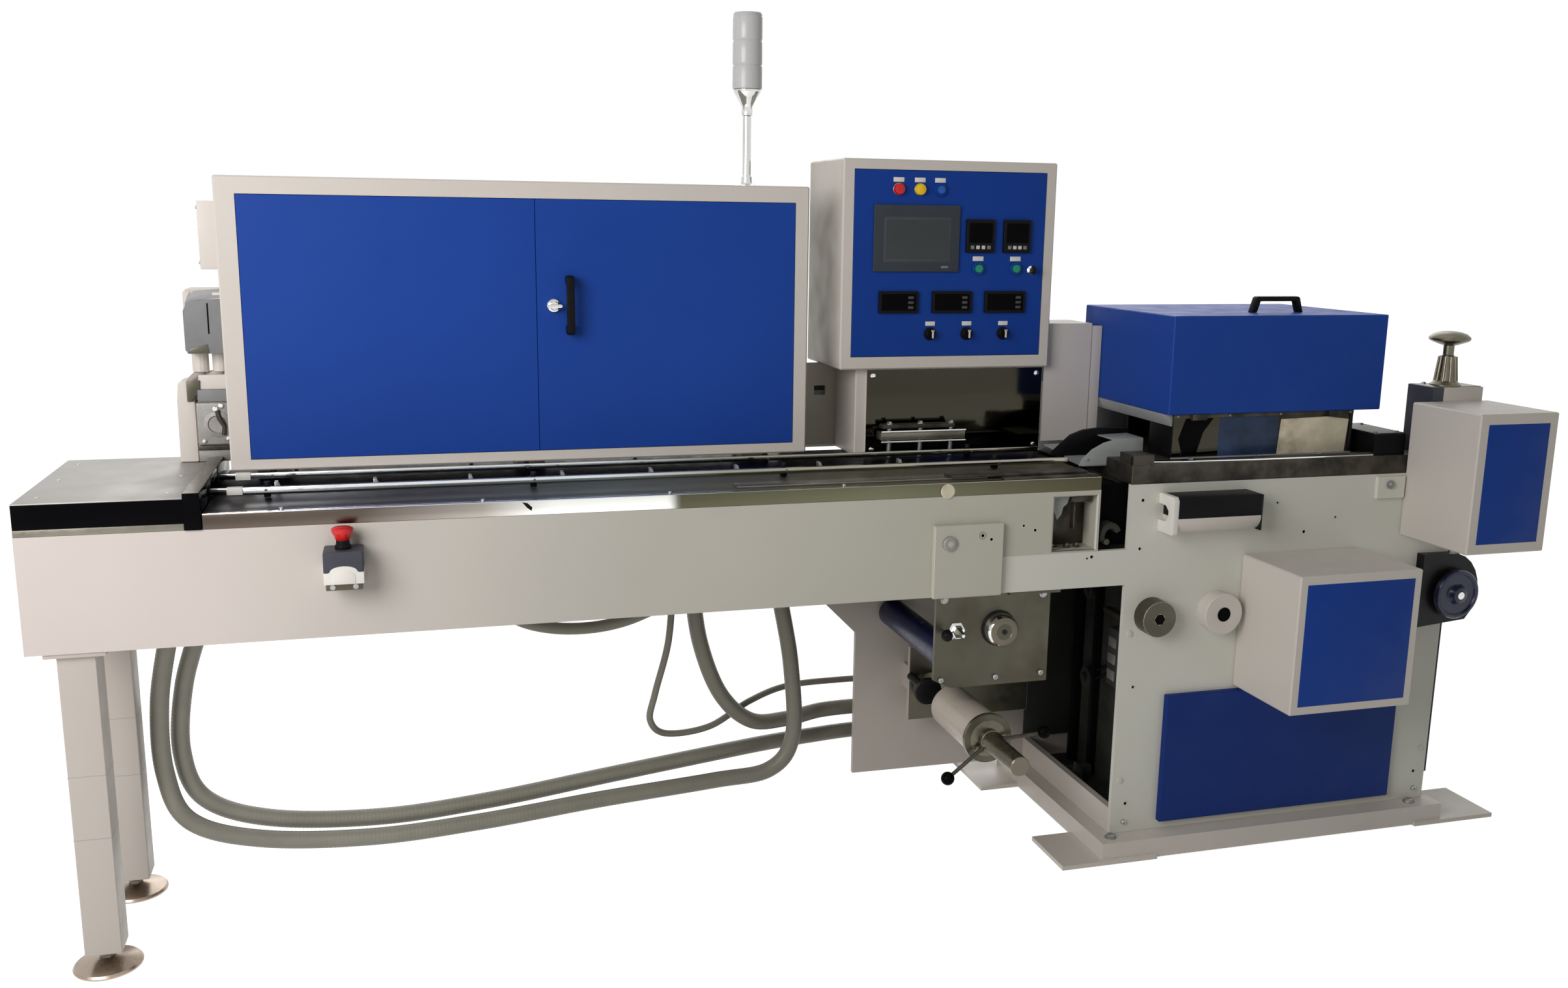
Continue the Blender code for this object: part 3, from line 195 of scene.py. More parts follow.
def make_materials():
    """Every finish, by the short name that the pieces use."""
    cream = dict(rough=0.42, mottle=0.03, scale=2.5, bump=0.06, grain=700, spec=0.3)
    stained = dict(stain_and_painted_reflection=(150, 143, 128), stain_and_reflection_scale=2.2, stain_and_reflection_amount=0.18, **cream)
    blue = dict(rough=0.46, mottle=0.06, scale=2.0, bump=0.07, grain=650, spec=0.13)
    plastic = dict(rough=0.32, mottle=0.06, scale=40, bump=0.08, grain=900, coat=0.2)
    # edge: painted light and reflection along the edge strip: dark brown at the infeed end, a white painted
    # reflection band from 0.93 to 1.155, olive towards the outfeed
    edge = [(0.306, (88, 78, 71)), (0.58, (100, 90, 82)), (0.8, (172, 165, 158)), (0.93, (255, 255, 253)),
        (1.155, (255, 255, 253)), (1.175, (92, 90, 72)), (1.6, (106, 106, 86)), (2.095, (76, 72, 56))]
    # beam: painted light on the beam's cream, lighter at the infeed end and dimmer towards the outfeed
    beam = [(0.3, (250, 248, 250)), (0.95, (228, 231, 229)), (2.095, (229, 235, 225))]
    # bars: painted reflection on the guide bars, white at the infeed end and dull olive towards the outfeed
    bars_painted_reflection = [(0.306, (255, 255, 255)), (1.05, (232, 236, 240)), (1.3, (168, 166, 150)),
        (2.095, (176, 172, 160))]
    return {
        "cream": surface("cream_paint", (205, 199, 190), **stained),
        "cream_beam_painted_light": surface("cream_paint_beam_painted_light", (205, 199, 190), along=beam, **stained),
        # a lighter copy of the same cream for the front plate: painted light
        "cream_plate_painted_light": surface("cream_paint_plate_painted_light", (210, 210, 199), **stained),
        # a darker copy of the same cream for the legs and the rear plate: painted shade
        "cream_painted_shade": surface("cream_paint_painted_shade", (184, 177, 169), stain_and_painted_reflection=(140, 132, 118), stain_and_reflection_scale=2.2,
            stain_and_reflection_amount=0.25, **cream),
        "cream_clean": surface("cream_paint_clean", (206, 200, 192), **cream),
        "blue": surface("blue_paint", (27, 66, 150), **blue),
        # two darker copies of the same blue paint, for the control door, cover fronts and service cover:
        # painted shade
        "blue_mild_painted_shade": surface("blue_paint_mild_painted_shade", (20, 60, 142), **blue),
        "blue_dark_painted_shade": surface("blue_paint_dark_painted_shade", (13, 44, 110), **blue),
        "steel": surface("brushed_steel", (168, 166, 160), 0.3, 0.05, 6, 0.05, 260, metal=1.0,
            stretch=(0.4, 1, 1)),
        "bright": surface("bright_steel", (222, 223, 221), 0.18, 0.06, 12, 0.05, 300, metal=1.0,
            stretch=(0.05, 1, 1)),
        "edge": surface("edge_strip_painted_reflection", (240, 240, 238), 0.2, 0.07, 9, 0.05, 300, metal=1.0,
            stretch=(0.08, 1, 1), along=edge),
        "bars_painted_reflection": surface("guide_bar_chrome_painted_reflection", (226, 227, 226), 0.14, 0.05, 16, 0.03, 240, metal=1.0,
            stretch=(0.1, 1, 1), along=bars_painted_reflection),
        "satin": surface("satin_steel", (120, 117, 106), 0.36, 0.1, 14, 0.1, 320, metal=0.9,
            stain_and_painted_reflection=(64, 56, 42), stain_and_reflection_scale=9, stain_and_reflection_amount=0.4),
        "brown_steel": surface("aged_steel", (84, 81, 70), 0.4, 0.16, 7, 0.1, 260, metal=0.7,
            stain_and_painted_reflection=(66, 58, 44), stain_and_reflection_scale=8, stain_and_reflection_amount=0.6),
        "old_steel": surface("old_steel", (100, 95, 82), 0.3, 0.1, 8, 0.02, 200, metal=0.9,
            stain_and_painted_reflection=(60, 52, 40), stain_and_reflection_scale=9, stain_and_reflection_amount=0.4),
        # a dark steel used as painted shade in the drive space, the gap and the column's hole
        "shade": surface("steel_painted_shade", (58, 60, 56), 0.6, 0.2, 6, 0.15, 260, metal=0.2, stain_and_painted_reflection=(30, 28, 24),
            stain_and_reflection_scale=7, stain_and_reflection_amount=0.8, spec=0.1),
        "rough_iron": surface("oily_iron", (66, 62, 54), 0.48, 0.3, 26, 0.35, 180, metal=0.6,
            stain_and_painted_reflection=(24, 22, 19), stain_and_reflection_scale=22, stain_and_reflection_amount=0.9),
        "dark_steel": surface("dark_steel", (30, 31, 33), 0.24, 0.14, 5, 0.04, 300, metal=0.7,
            stretch=(0.3, 1, 1)),
        "mirror": surface("mirror_steel", (60, 57, 49), 0.09, 0.1, 4, 0.012, 60, metal=1.0,
            stretch=(0.3, 1, 1), rough_vary=0.03),
        "foot_steel": surface("foot_steel", (160, 146, 132), 0.3, 0.1, 20, 0.03, 160, metal=1.0,
            rough_vary=0.05),
        "chrome": surface("chrome", (206, 206, 204), 0.1, 0.06, 20, 0.02, 200, metal=1.0, rough_vary=0.03),
        "zinc": surface("zinc_plate", (156, 158, 156), 0.34, 0.1, 60, 0.1, 500, metal=0.9),
        "alu": surface("cast_aluminium", (136, 134, 130), 0.44, 0.12, 30, 0.3, 420, metal=0.6,
            stain_and_painted_reflection=(84, 82, 78), stain_and_reflection_scale=16, stain_and_reflection_amount=0.5),
        "black": surface("black_plastic", (14, 14, 16), 0.42, 0.18, 40, 0.22, 1200, spec=0.08),
        "black_gloss": surface("black_gloss", (9, 8, 10), 0.16, 0.2, 8, 0.02, 200, spec=0.02),
        "black_metal": surface("black_metal", (24, 24, 26), 0.38, 0.25, 24, 0.2, 400, metal=0.3, spec=0.2),
        "hole": surface("hole_shadow", (8, 8, 8), 0.85, 0.3, 60, 0.1, 600, spec=0.05),
        "grey_dark": surface("dark_grey_plastic", (58, 60, 68), 0.44, 0.08, 30, 0.2, 1200),
        "grey": surface("grey_plastic", (122, 124, 124), 0.48, 0.08, 24, 0.2, 1100),
        "white": surface("white_plastic", (224, 222, 214), 0.38, 0.04, 30, 0.12, 1100),
        "red": surface("red_plastic", (205, 24, 22), **plastic),
        "yellow": surface("yellow_plastic", (240, 196, 16), **plastic),
        "lamp_blue": surface("blue_lamp", (14, 84, 172), **plastic),
        "green": surface("green_plastic", (8, 134, 104), **plastic),
        "screen": surface("screen_glass", (46, 52, 54), 0.22, 0.06, 7, 0.0, spec=0.3),
        "bezel": surface("bezel_plastic", (54, 60, 66), 0.5, 0.05, 30, 0.2, 1500, spec=0.15),
        "digits": surface("legend_white", (206, 200, 190), 0.5, 0.05, 60, 0.0),
        "rubber": surface("blue_rubber", (18, 26, 62), 0.34, 0.08, 10, 0.02, 500, spec=0.4),
        "wheel": surface("blue_wheel", (24, 32, 66), 0.26, 0.06, 20, 0.02, 400, spec=0.4),
        # the hose's tint along X is painted light, lighter at the infeed end
        "hose": surface("hose_plastic_painted_light", (150, 148, 137), 0.42, 0.06, 14, 0.06, 700, stain_and_painted_reflection=(122, 121, 110),
            stain_and_reflection_scale=5, stain_and_reflection_amount=0.4, along=[(0.3, (255, 255, 255)), (0.8, (214, 214, 208)),
            (1.6, (200, 200, 196))]),
        "film": surface("film_paper", (184, 174, 161), 0.34, 0.04, 40, 0.04, 500, stretch=(1, 0.1, 1),
            coat=0.1),
        "former": surface("former_plastic", (152, 158, 154), 0.34, 0.04, 6, 0.04, 240, stain_and_painted_reflection=(120, 120, 112),
            stain_and_reflection_scale=9, stain_and_reflection_amount=0.3, coat=0.1),
        "lens": surface("lens_plastic", (196, 196, 195), 0.3, 0.05, 26, 0.08, 300, stretch=(1, 1, 0.1),
            coat=0.2),
        "duct": surface("duct_plastic", (150, 152, 152), 0.55, 0.05, 30, 0.2, 900),
        # the front deck's tint along X is painted light and reflection: near black at the infeed end, grey
        # and olive further on
        "deck_front_painted_light": surface("deck_front_plate_painted_light", (236, 236, 234), 0.42, 0.07, 3, 0.01, 120, metal=0.4,
            stretch=(0.3, 1, 1), spec=0.1, along=[(0.306, (16, 16, 18)), (0.55, (30, 30, 32)),
            (0.8, (66, 68, 70)), (1.05, (100, 108, 104)), (1.35, (104, 102, 84)), (2.095, (104, 100, 80))]),
        # the rear deck's navy blotches, laid in through the stain pattern, are a painted reflection of the
        # blue doors
        "deck_rear_painted_reflection": surface("deck_rear_plate_painted_reflection", (9, 9, 12), 0.35, 0.2, 5, 0.01, 120, spec=0.02,
            stain_and_painted_reflection=(18, 26, 72), stain_and_reflection_scale=2.5, stain_and_reflection_amount=0.8),
        "cover_steel": surface("cover_steel", (158, 155, 150), 0.46, 0.05, 2, 0.05, 500, metal=0.6,
            stain_and_painted_reflection=(120, 118, 110), stain_and_reflection_scale=3, stain_and_reflection_amount=0.4),
        "pipe": surface("conduit", (166, 158, 152), 0.45, 0.05, 20, 0.1, 700),
        "pane_blue": surface("blue_pane", (48, 64, 92), 0.3, 0.2, 14, 0.05, 300, stain_and_painted_reflection=(26, 30, 38),
            stain_and_reflection_scale=12, stain_and_reflection_amount=0.7, spec=0.15),
        "card": surface("card", (212, 203, 178), 0.7, 0.12, 30, 0.3, 500, stain_and_painted_reflection=(130, 116, 90), stain_and_reflection_scale=24,
            stain_and_reflection_amount=0.6),
        "wire": surface("wire_black", (30, 30, 34), 0.5, 0.1, 60, 0.1, 900),
    }


# ---------------------------------------------------------------- shapes
AXIS_TURN = {"X": (0, math.pi / 2, 0), "Y": (-math.pi / 2, 0, 0), "Z": (0, 0, 0)}
OUTLINE_TURN = {"X": (math.pi / 2, 0, math.pi / 2), "Y": (math.pi / 2, 0, 0), "Z": (0, 0, 0)}


def about(middle, half):
    """The span from half below the middle to half above it."""
    return middle - half, middle + half


def ring(bm, radius, height, sides):
    """A circle of new points about Z."""
    turns = [2 * math.pi * i / sides for i in range(sides)]
    return [bm.verts.new((radius * math.cos(a), radius * math.sin(a), height)) for a in turns]


def skin(bm, rings):
    """Faces between each ring of points and the next."""
    for low, high in zip(rings, rings[1:]):
        sides = len(low)
        for i in range(sides):
            bm.faces.new((low[i], low[(i + 1) % sides], high[(i + 1) % sides], high[i]))


def upright(place, way):
    """A placing that puts a shape's Z along way."""
    return Matrix.Translation(place) @ way.to_track_quat("Z", "Y").to_matrix().to_4x4()


def arc(u, v, wide, tall, start, step, count):
    """Outline points on an ellipse about (u, v), from the angle start on, a step of degrees apart."""
    turns = [math.radians(start + step * k) for k in range(count)]
    return [(u + wide * math.cos(a), v + tall * math.sin(a)) for a in turns]


def ball(radius, steps):
    """A sphere's outline for a body of revolution."""
    turns = [math.pi * k / steps for k in range(steps + 1)]
    return [(radius * math.sin(a), -radius * math.cos(a)) for a in turns]


def turned_mesh(profile, sides):
    """A body of revolution about Z from (radius, height) pairs, capped where it doesn't reach the axis."""
    bm = bmesh.new()
    rings = []
    for radius, height in profile:
        at_axis = radius < 1e-6
        rings.append([bm.verts.new((0, 0, height))] if at_axis else ring(bm, radius, height, sides))
    for low, high in zip(rings, rings[1:]):
        if len(low) + len(high) < 3:
            continue
        for i in range(sides):
            corners = [low[i % len(low)], low[(i + 1) % len(low)], high[(i + 1) % len(high)],
                high[i % len(high)]]
            bm.faces.new(list(dict.fromkeys(corners)))
    for end in (rings[0], rings[-1]):
        if len(end) > 1:
            bm.faces.new(end)
    bmesh.ops.recalc_face_normals(bm, faces=bm.faces)
    return bm


class Piece:
    """One visible piece, put together from shapes given in machine coordinates, or from its own origin at."""

    def __init__(self, name, body="machine", slot=None, at=(0, 0, 0)):
        self.name, self.body, self.slot, self.at = name, body, slot, Vector(at)
        self.bm = bmesh.new()
        self.looks = []

    def take(self, bm, look, matrix=None):
        """Adds a shape to the piece, in a finish."""
        if look not in self.looks:
            self.looks.append(look)
        if matrix is not None:
            bmesh.ops.transform(bm, matrix=matrix, verts=bm.verts)
        for face in bm.faces:
            face.material_index = self.looks.index(look)
            face.smooth = True
        mesh = bpy.data.meshes.new("part")
        bm.to_mesh(mesh)
        bm.free()
        self.bm.from_mesh(mesh)
        bpy.data.meshes.remove(mesh)
        return self

    def box(self, x, y, z, look, bevel=0.001, turn=None, steps=2):
        """A block with rounded edges. turn is (axis letter, degrees) about its middle."""
        bm = bmesh.new()
        bmesh.ops.create_cube(bm, size=1.0)
        size = Matrix.Diagonal((abs(x[1] - x[0]), abs(y[1] - y[0]), abs(z[1] - z[0]), 1))
        bmesh.ops.transform(bm, matrix=size, verts=bm.verts)
        if bevel:
            bmesh.ops.bevel(bm, geom=bm.edges, offset=bevel, segments=steps, profile=0.6, affect="EDGES")
        place = Matrix.Translation((sum(x) / 2, sum(y) / 2, sum(z) / 2))
        if turn:
            place = place @ Matrix.Rotation(math.radians(turn[1]), 4, turn[0])
        return self.take(bm, look, place)

    def turn(self, axis, base, profile, look, sides=40):
        """A body of revolution standing on base, from (radius, height along axis) pairs."""
        place = Matrix.Translation(base) @ Euler(AXIS_TURN[axis]).to_matrix().to_4x4()
        return self.take(turned_mesh(profile, sides), look, place)

    def rod(self, axis, start, radius, length, look, sides=32, chamfer=0.0006):
        """A round bar with chamfered ends. A length below zero runs backwards."""
        c = min(chamfer, radius * 0.4)
        s = 1 if length > 0 else -1
        return self.turn(axis, start, [(radius - c, 0), (radius, s * c), (radius, length - s * c),
            (radius - c, length)], look, sides)

    def between(self, a, b, radius, look, sides=16):
        """A round bar from a to b."""
        a, b = Vector(a), Vector(b)
        return self.take(turned_mesh([(radius, 0), (radius, (b - a).length)], sides), look,
            upright(a, b - a))

    def prism(self, axis, outline, span, look, bevel=0.0008):
        """An outline pushed along axis. For Y the outline is (x, z), for X (y, z), for Z (x, y)."""
        bm = bmesh.new()
        thick = span[1] - span[0]
        low = [bm.verts.new((u, v, -thick / 2)) for u, v in outline]
        face = bm.faces.new(low)
        grown = bmesh.ops.extrude_face_region(bm, geom=[face])
        bmesh.ops.translate(bm, verts=[g for g in grown["geom"] if isinstance(g, bmesh.types.BMVert)],
            vec=(0, 0, thick))
        bmesh.ops.recalc_face_normals(bm, faces=bm.faces)
        if bevel:
            sharp = [e for e in bm.edges if e.calc_face_angle(0) > 0.6]
            bmesh.ops.bevel(bm, geom=sharp, offset=bevel, segments=2, profile=0.6, affect="EDGES")
        middle = Vector([sum(span) / 2 if letter == axis else 0 for letter in "XYZ"])
        place = Matrix.Translation(middle) @ Euler(OUTLINE_TURN[axis]).to_matrix().to_4x4()
        return self.take(bm, look, place)

    def sleeve(self, axis, base, inner, outer, height, look, sides=40, c=0.0005):
        """A tube, closed all round."""
        profile = [(inner, 0), (outer - c, 0), (outer, c), (outer, height - c), (outer - c, height),
            (inner, height)]
        bm = bmesh.new()
        rings = [ring(bm, r, h, sides) for r, h in profile]
        skin(bm, rings + rings[:1])
        bmesh.ops.recalc_face_normals(bm, faces=bm.faces)
        place = Matrix.Translation(base) @ Euler(AXIS_TURN[axis]).to_matrix().to_4x4()
        return self.take(bm, look, place)

    def tube(self, points, radius, look, sides=10):
        """A round bar along a line of points."""
        points = [Vector(p) for p in points]
        bm = bmesh.new()
        rings = []
        side = None
        for i, point in enumerate(points):
            ahead = (points[min(i + 1, len(points) - 1)] - points[max(i - 1, 0)]).normalized()
            if side is None:
                side = ahead.orthogonal().normalized()
            side = (side - ahead * side.dot(ahead)).normalized()
            other = ahead.cross(side)
            r = radius[i] if isinstance(radius, list) else radius
            rings.append([bm.verts.new(point + (side * math.cos(t) + other * math.sin(t)) * r)
                for t in (2 * math.pi * k / sides for k in range(sides))])
        skin(bm, rings)
        bm.faces.new(rings[0])
        bm.faces.new(rings[-1])
        bmesh.ops.recalc_face_normals(bm, faces=bm.faces)
        return self.take(bm, look)

    def hex_bolt(self, axis, spot, radius, look="zinc", out=-1):
        """A hexagon head on a washer. out is the side it stands out on."""
        h = radius * 0.75
        base = out * radius * 0.22
        self.turn(axis, spot, [(radius * 1.45, 0), (radius * 1.45, base)], look, 24)
        return self.turn(axis, spot, [(radius, base), (radius, base + out * h * 0.85),
            (radius * 0.86, base + out * h)], look, 6)

    def screw(self, axis, spot, radius, look="zinc", out=-1):
        """A socket-head screw with its recess."""
        h = radius * 0.8
        return self.turn(axis, spot, [(radius, 0), (radius, out * h * 0.85), (radius * 0.9, out * h),
            (radius * 0.56, out * h), (radius * 0.5, out * h * 0.45), (0, out * h * 0.45)], look, 18)

    def done(self, *replaced, sharp=32):
        """Makes the object, which stands for the CAD nodes named."""
        mesh = bpy.data.meshes.new(self.name)
        bmesh.ops.translate(self.bm, verts=self.bm.verts, vec=SHIFT + self.at)
        self.bm.to_mesh(mesh)
        self.bm.free()
        for look in self.looks:
            mesh.materials.append(MATS[look])
        mesh.set_sharp_from_angle(angle=math.radians(sharp))
        obj = bpy.data.objects.new(self.name, mesh)
        bpy.context.scene.collection.objects.link(obj)
        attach(obj, self.body)
        if replaced:
            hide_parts(*replaced)
        return obj


def in_machine(box):
    """The low and high corner of a CAD node's box, in machine coordinates."""
    return [Vector(corner) - SHIFT for corner in box]


def coat(look, *names):
    """Gives CAD nodes a finished material."""
    for name in names:
        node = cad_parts[name]
        node.data.materials.clear()
        node.data.materials.append(MATS[look])


# ---------------------------------------------------------------- infeed conveyor
def conveyor():
    """The infeed beam: its tail cover, deck, guide rails, chain, sprockets and trim."""
    # the beam's cream is lighter at the infeed end as painted light
    coat("cream_beam_painted_light", "conveyor_beam", "joint_plate")

    cover = Piece("tail_cover_sheet", slot="dark_steel")
    low, high = BEAM_Z[1] + EPS, 0.906
    cover.box((0.0005, 0.2765), (0.0015, BEAM_W - 0.0005), (high - 0.003, high), "cover_steel", 0.0012)
    cover.box((0.0005, 0.2765), (0.0012, 0.004), (low + 0.012, high - 0.002), "black_gloss", 0.0008)
    cover.box((0.0005, 0.2765), (0.0005, 0.0042), (low, low + 0.012), "satin", 0.0006)
    cover.box((0.0005, 0.003), (0.003, BEAM_W - 0.002), (low, high - 0.002), "black_metal", 0.0006)
    cover.box((0.0005, 0.2765), (BEAM_W - 0.004, BEAM_W - 0.001), (low, high - 0.002), "black_metal", 0.0006)
    for a, b in ((-0.0045, 0.1505), (0.2525, BEAM_W + 0.0045)):
        cover.prism("X", [(a, low), (b, low), (b, 0.9155), (a, 0.9155)], (0.2765, 0.3055), "black_gloss",
            0.0015)
    cover.box((0.2765, 0.3055), (0.15, 0.253), (0.8985, 0.9155), "black_gloss", 0.0012)
    cover.box((0.2775, 0.3045), (-0.004, BEAM_W + 0.004), (0.915, 0.9158), "satin", 0.0003)
    for y in (0.06, 0.23, 0.4):
        for x in (0.03, 0.245):
            cover.turn("Z", (x, y, high - 0.0004), [(0.0052, 0), (0.0048, 0.0009), (0, 0.0014)], "zinc", 18)
    cover.done("tail_cover")

    deck = Piece("conveyor_deck_sheet", slot="dark_steel")
    left, right = 0.3068, 2.0948
    # the edge strip, the guide bars and the front deck are tinted along X as painted light and reflection
    deck.box((left, right), (0.0002, 0.0035), (low, 0.8745), "edge", 0.001)
    deck.box((left, right), (0.0012, 0.013), (0.8725, 0.8758), "bars_painted_reflection", 0.0012)
    deck.box((left, right), (0.013, 0.03), (0.872, 0.8752), "deck_front_painted_light", 0.0008)
    deck.box((left, right), (0.03, 0.1845), (0.8718, 0.875), "deck_front_painted_light", 0.0008)
    # the rear deck's blue blotches are a painted reflection
    deck.box((left, right), (0.2172, BEAM_W - 0.001), (0.8718, 0.875), "deck_rear_painted_reflection", 0.0008)
    deck.box((left, right), (BEAM_W - 0.0035, BEAM_W - 0.0002), (low, 0.8745), "satin", 0.001)
    deck.box((right - 0.0035, right), (0.003, BEAM_W - 0.003), (low, 0.874), "rough_iron", 0.0008)
    for y in (0.1795, 0.2175):
        deck.box((left, 2.075), (y, y + 0.0045), (0.87, 0.8785), "deck_rear_painted_reflection", 0.001)
    # strips, screws and packers along the operator's edge
    deck.box((1.3, 1.845), (0.035, 0.072), (0.875, 0.8795), "satin", 0.001)
    deck.box((1.76, 2.075), (0.026, 0.068), (0.8795, 0.885), "rough_iron", 0.0012)
    deck.box((1.87, 2.09), (0.004, 0.024), (0.8757, 0.88), "rough_iron", 0.001)
    for x in (0.44, 0.8, 1.16, 1.52, 1.9):
        for y, z in ((0.0165, 0.8757), (0.428, 0.875)):
            deck.screw("Z", (x, y, z), 0.0042, "zinc", 1)
    deck.turn("Y", (1.741, 0.0005, 0.8585), [(0.0155, -0.0002), (0.0155, -0.003), (0.014, -0.0042),
        (0, -0.0044)], "card", 28)
    deck.prism("Y", [(0.872, 0.873), (0.882, 0.871), (0.891, 0.862), (0.889, 0.856), (0.881, 0.862)],
        (-0.0028, 0.0003), "black", 0.0006)
    deck.done("conveyor_deck")

    for name, y, node in (("rail_front", 0.115, "guide_rail_front"),
            ("rail_rear", 0.266, "guide_rail_rear")):
        rail = Piece(name + "_bar", slot="chrome")
        a, b = 0.3068, 2.0715
        # the bar's chrome carries a painted reflection that changes along its length
        rail.box((a, b), about(y, 0.0045), (0.8885, 0.8998), "bars_painted_reflection", 0.0022)
        for share in (0.057, 0.34, 0.634, 0.906):
            x = 0.3063 + share * 1.7657
            rail.box(about(x, 0.007), (y + 0.004, y + 0.03), (0.8915, 0.8968), "black", 0.0012)
            rail.box(about(x, 0.0062), (y + 0.016, y + 0.03), (0.8764, 0.8985), "black", 0.0014)
            rail.rod("Z", (x, y + 0.023, 0.898), 0.0058, 0.0075, "black_metal", 18)
            rail.screw("Y", (x, y - 0.004, 0.8942), 0.0026, "satin")
        rail.box((0.338, 0.366), (y - 0.007, y + 0.0062), (0.887, 0.901), "white", 0.0012)
        rail.done(node)

    # roller chain with its pushers, in the slot
    chain = Piece("roller_chain", slot="dark_steel")
    centre_y, r = 0.201, 0.066
    flat = DRIVE_X - TAIL_X
    total = 2 * flat + 2 * math.pi * r
    count = 130
    pitch = total / count

    def on_loop(s):
        """The place that is s along the chain, from above the tail sprocket."""
        s %= total
        if s < flat:
            return Vector((TAIL_X + s, 0, SPROCKET_Z + r))
        s -= flat
        if s < math.pi * r:
            a = s / r
            return Vector((DRIVE_X + r * math.sin(a), 0, SPROCKET_Z + r * math.cos(a)))
        s -= math.pi * r
        if s < flat:
            return Vector((DRIVE_X - s, 0, SPROCKET_Z - r))
        a = (s - flat) / r
        return Vector((TAIL_X - r * math.sin(a), 0, SPROCKET_Z - r * math.cos(a)))

    for i in range(count):
        a, b = on_loop(i * pitch), on_loop((i + 1) * pitch)
        mid, tilt = (a + b) / 2, math.atan2(b.z - a.z, b.x - a.x)
        wide = 0.0036 if i % 2 else 0.0056
        for side in (-1, 1):
            y = centre_y + side * wide
            chain.box((mid.x - pitch * 0.62, mid.x + pitch * 0.62), about(y, 0.0009), about(mid.z, 0.0038),
                "satin", 0, ("Y", -math.degrees(tilt)))
        chain.rod("Y", (a.x, centre_y - 0.0062, a.z), 0.003, 0.0124, "satin", 8, 0.0003)
    first_pusher, pusher_step = 0.42, 0.184
    for i in range(8):
        x = first_pusher + pusher_step * i
        chain.prism("Y", [(x - 0.0048, 0.868), (x + 0.0048, 0.868), (x + 0.0048, 0.884), (x + 0.001, 0.8935),
            (x - 0.0048, 0.8935)], about(centre_y, 0.0088), "zinc", 0.001)
    chain.done("infeed_chain")

    for name, x in (("drive_sprocket", DRIVE_X), ("tail_sprocket", TAIL_X)):
        wheel = Piece(name + "_wheel", name + "_body", slot="steel")
        teeth, outline = 16, []
        for k in range(teeth * 4):
            a = 2 * math.pi * k / (teeth * 4)
            reach = 0.061 if k % 4 in (0, 1) else 0.056
            outline.append((x + reach * math.cos(a), SPROCKET_Z + reach * math.sin(a)))
        wheel.prism("Y", outline, about(centre_y, 0.003), "satin", 0.0006)
        wheel.turn("Y", (x, 0, SPROCKET_Z), [(0.0118, 0.066), (0.0118, 0.181), (0.022, 0.1815),
            (0.022, 0.2205), (0.0118, 0.221), (0.0118, 0.45)], "steel", 32)
        wheel.screw("Z", (x, 0.188, 0.8215), 0.0028, "black_metal", 1)
        wheel.done(name)

    # bolt heads, drilled holes with dark discs of painted shadow, and the look through the window
    trim = Piece("beam_trim")
    trim.turn("Y", (1.743, -0.0152, 0.75), [(0.0162, -0.0004), (0.016, -0.004), (0.0118, -0.0062),
        (0.0116, -0.0052), (0, -0.005)], "alu", 32)
    for x, y, z, rr in ((1.817, -0.0153, 0.764, 0.005), (1.837, -0.0153, 0.755, 0.0045),
            (1.917, 0, 0.777, 0.0036), (1.944, 0, 0.766, 0.0044), (2.081, 0.0, 0.7, 0.0046),
            (2.07, 0.0, 0.697, 0.003)):
        trim.sleeve("Y", (x, y + 0.0002, z), rr * 0.72, rr, -0.0006, "cream", 20, 0.0001)
        trim.turn("Y", (x, y, z), [(rr * 0.74, -0.0003), (0, -0.0003)], "hole", 20)
    trim.sleeve("Y", (1.817, -0.0151, 0.764), 0.0052, 0.0085, -0.0004, "satin", 24, 0.0001)
    # window frame, gear and cam plates behind it
    for z in ((0.715, 0.7165), (0.8355, 0.837)):
        trim.box((1.984, 2.089), (-0.0006, 0.0045), z, "satin", 0.0003)
    trim.box((1.9835, 1.9855), (-0.0006, 0.0045), (0.715, 0.837), "satin", 0.0003)
    trim.box((2.0875, 2.0905), (-0.0008, 0.0045), (0.715, 0.838), "white", 0.0004)
    trim.box((1.986, 2.088), (0.06, 0.0625), (0.7165, 0.835), "rough_iron", 0.0005)
    trim.prism("Y", [(1.99, 0.831), (2.034, 0.8355), (2.028, 0.815), (2.019, 0.808), (2.015, 0.792),
        (2.005, 0.78), (2.0, 0.793), (1.994, 0.806)], (0.022, 0.027), "former", 0.0008)
    trim.prism("Y", [(2.046, 0.799), (2.058, 0.802), (2.055, 0.772), (2.049, 0.774)], (0.04, 0.043), "grey",
        0.0006)
    trim.box((2.036, 2.084), (0.02, 0.026), (0.818, 0.83), "rough_iron", 0.0012)
    trim.box((2.04, 2.043), (0.014, 0.03), (0.76, 0.818), "rough_iron", 0.0008)
    for x in (2.0, 2.035, 2.058):
        trim.rod("Z", (x, 0.03, 0.717), 0.007, 0.0055, "rough_iron", 20)
        trim.hex_bolt("Z", (x, 0.03, 0.7225), 0.0038, "satin", 1)
    trim.box((1.988, 2.014), (0.018, 0.04), (0.7165, 0.72), "satin", 0.0008)
    trim.done()


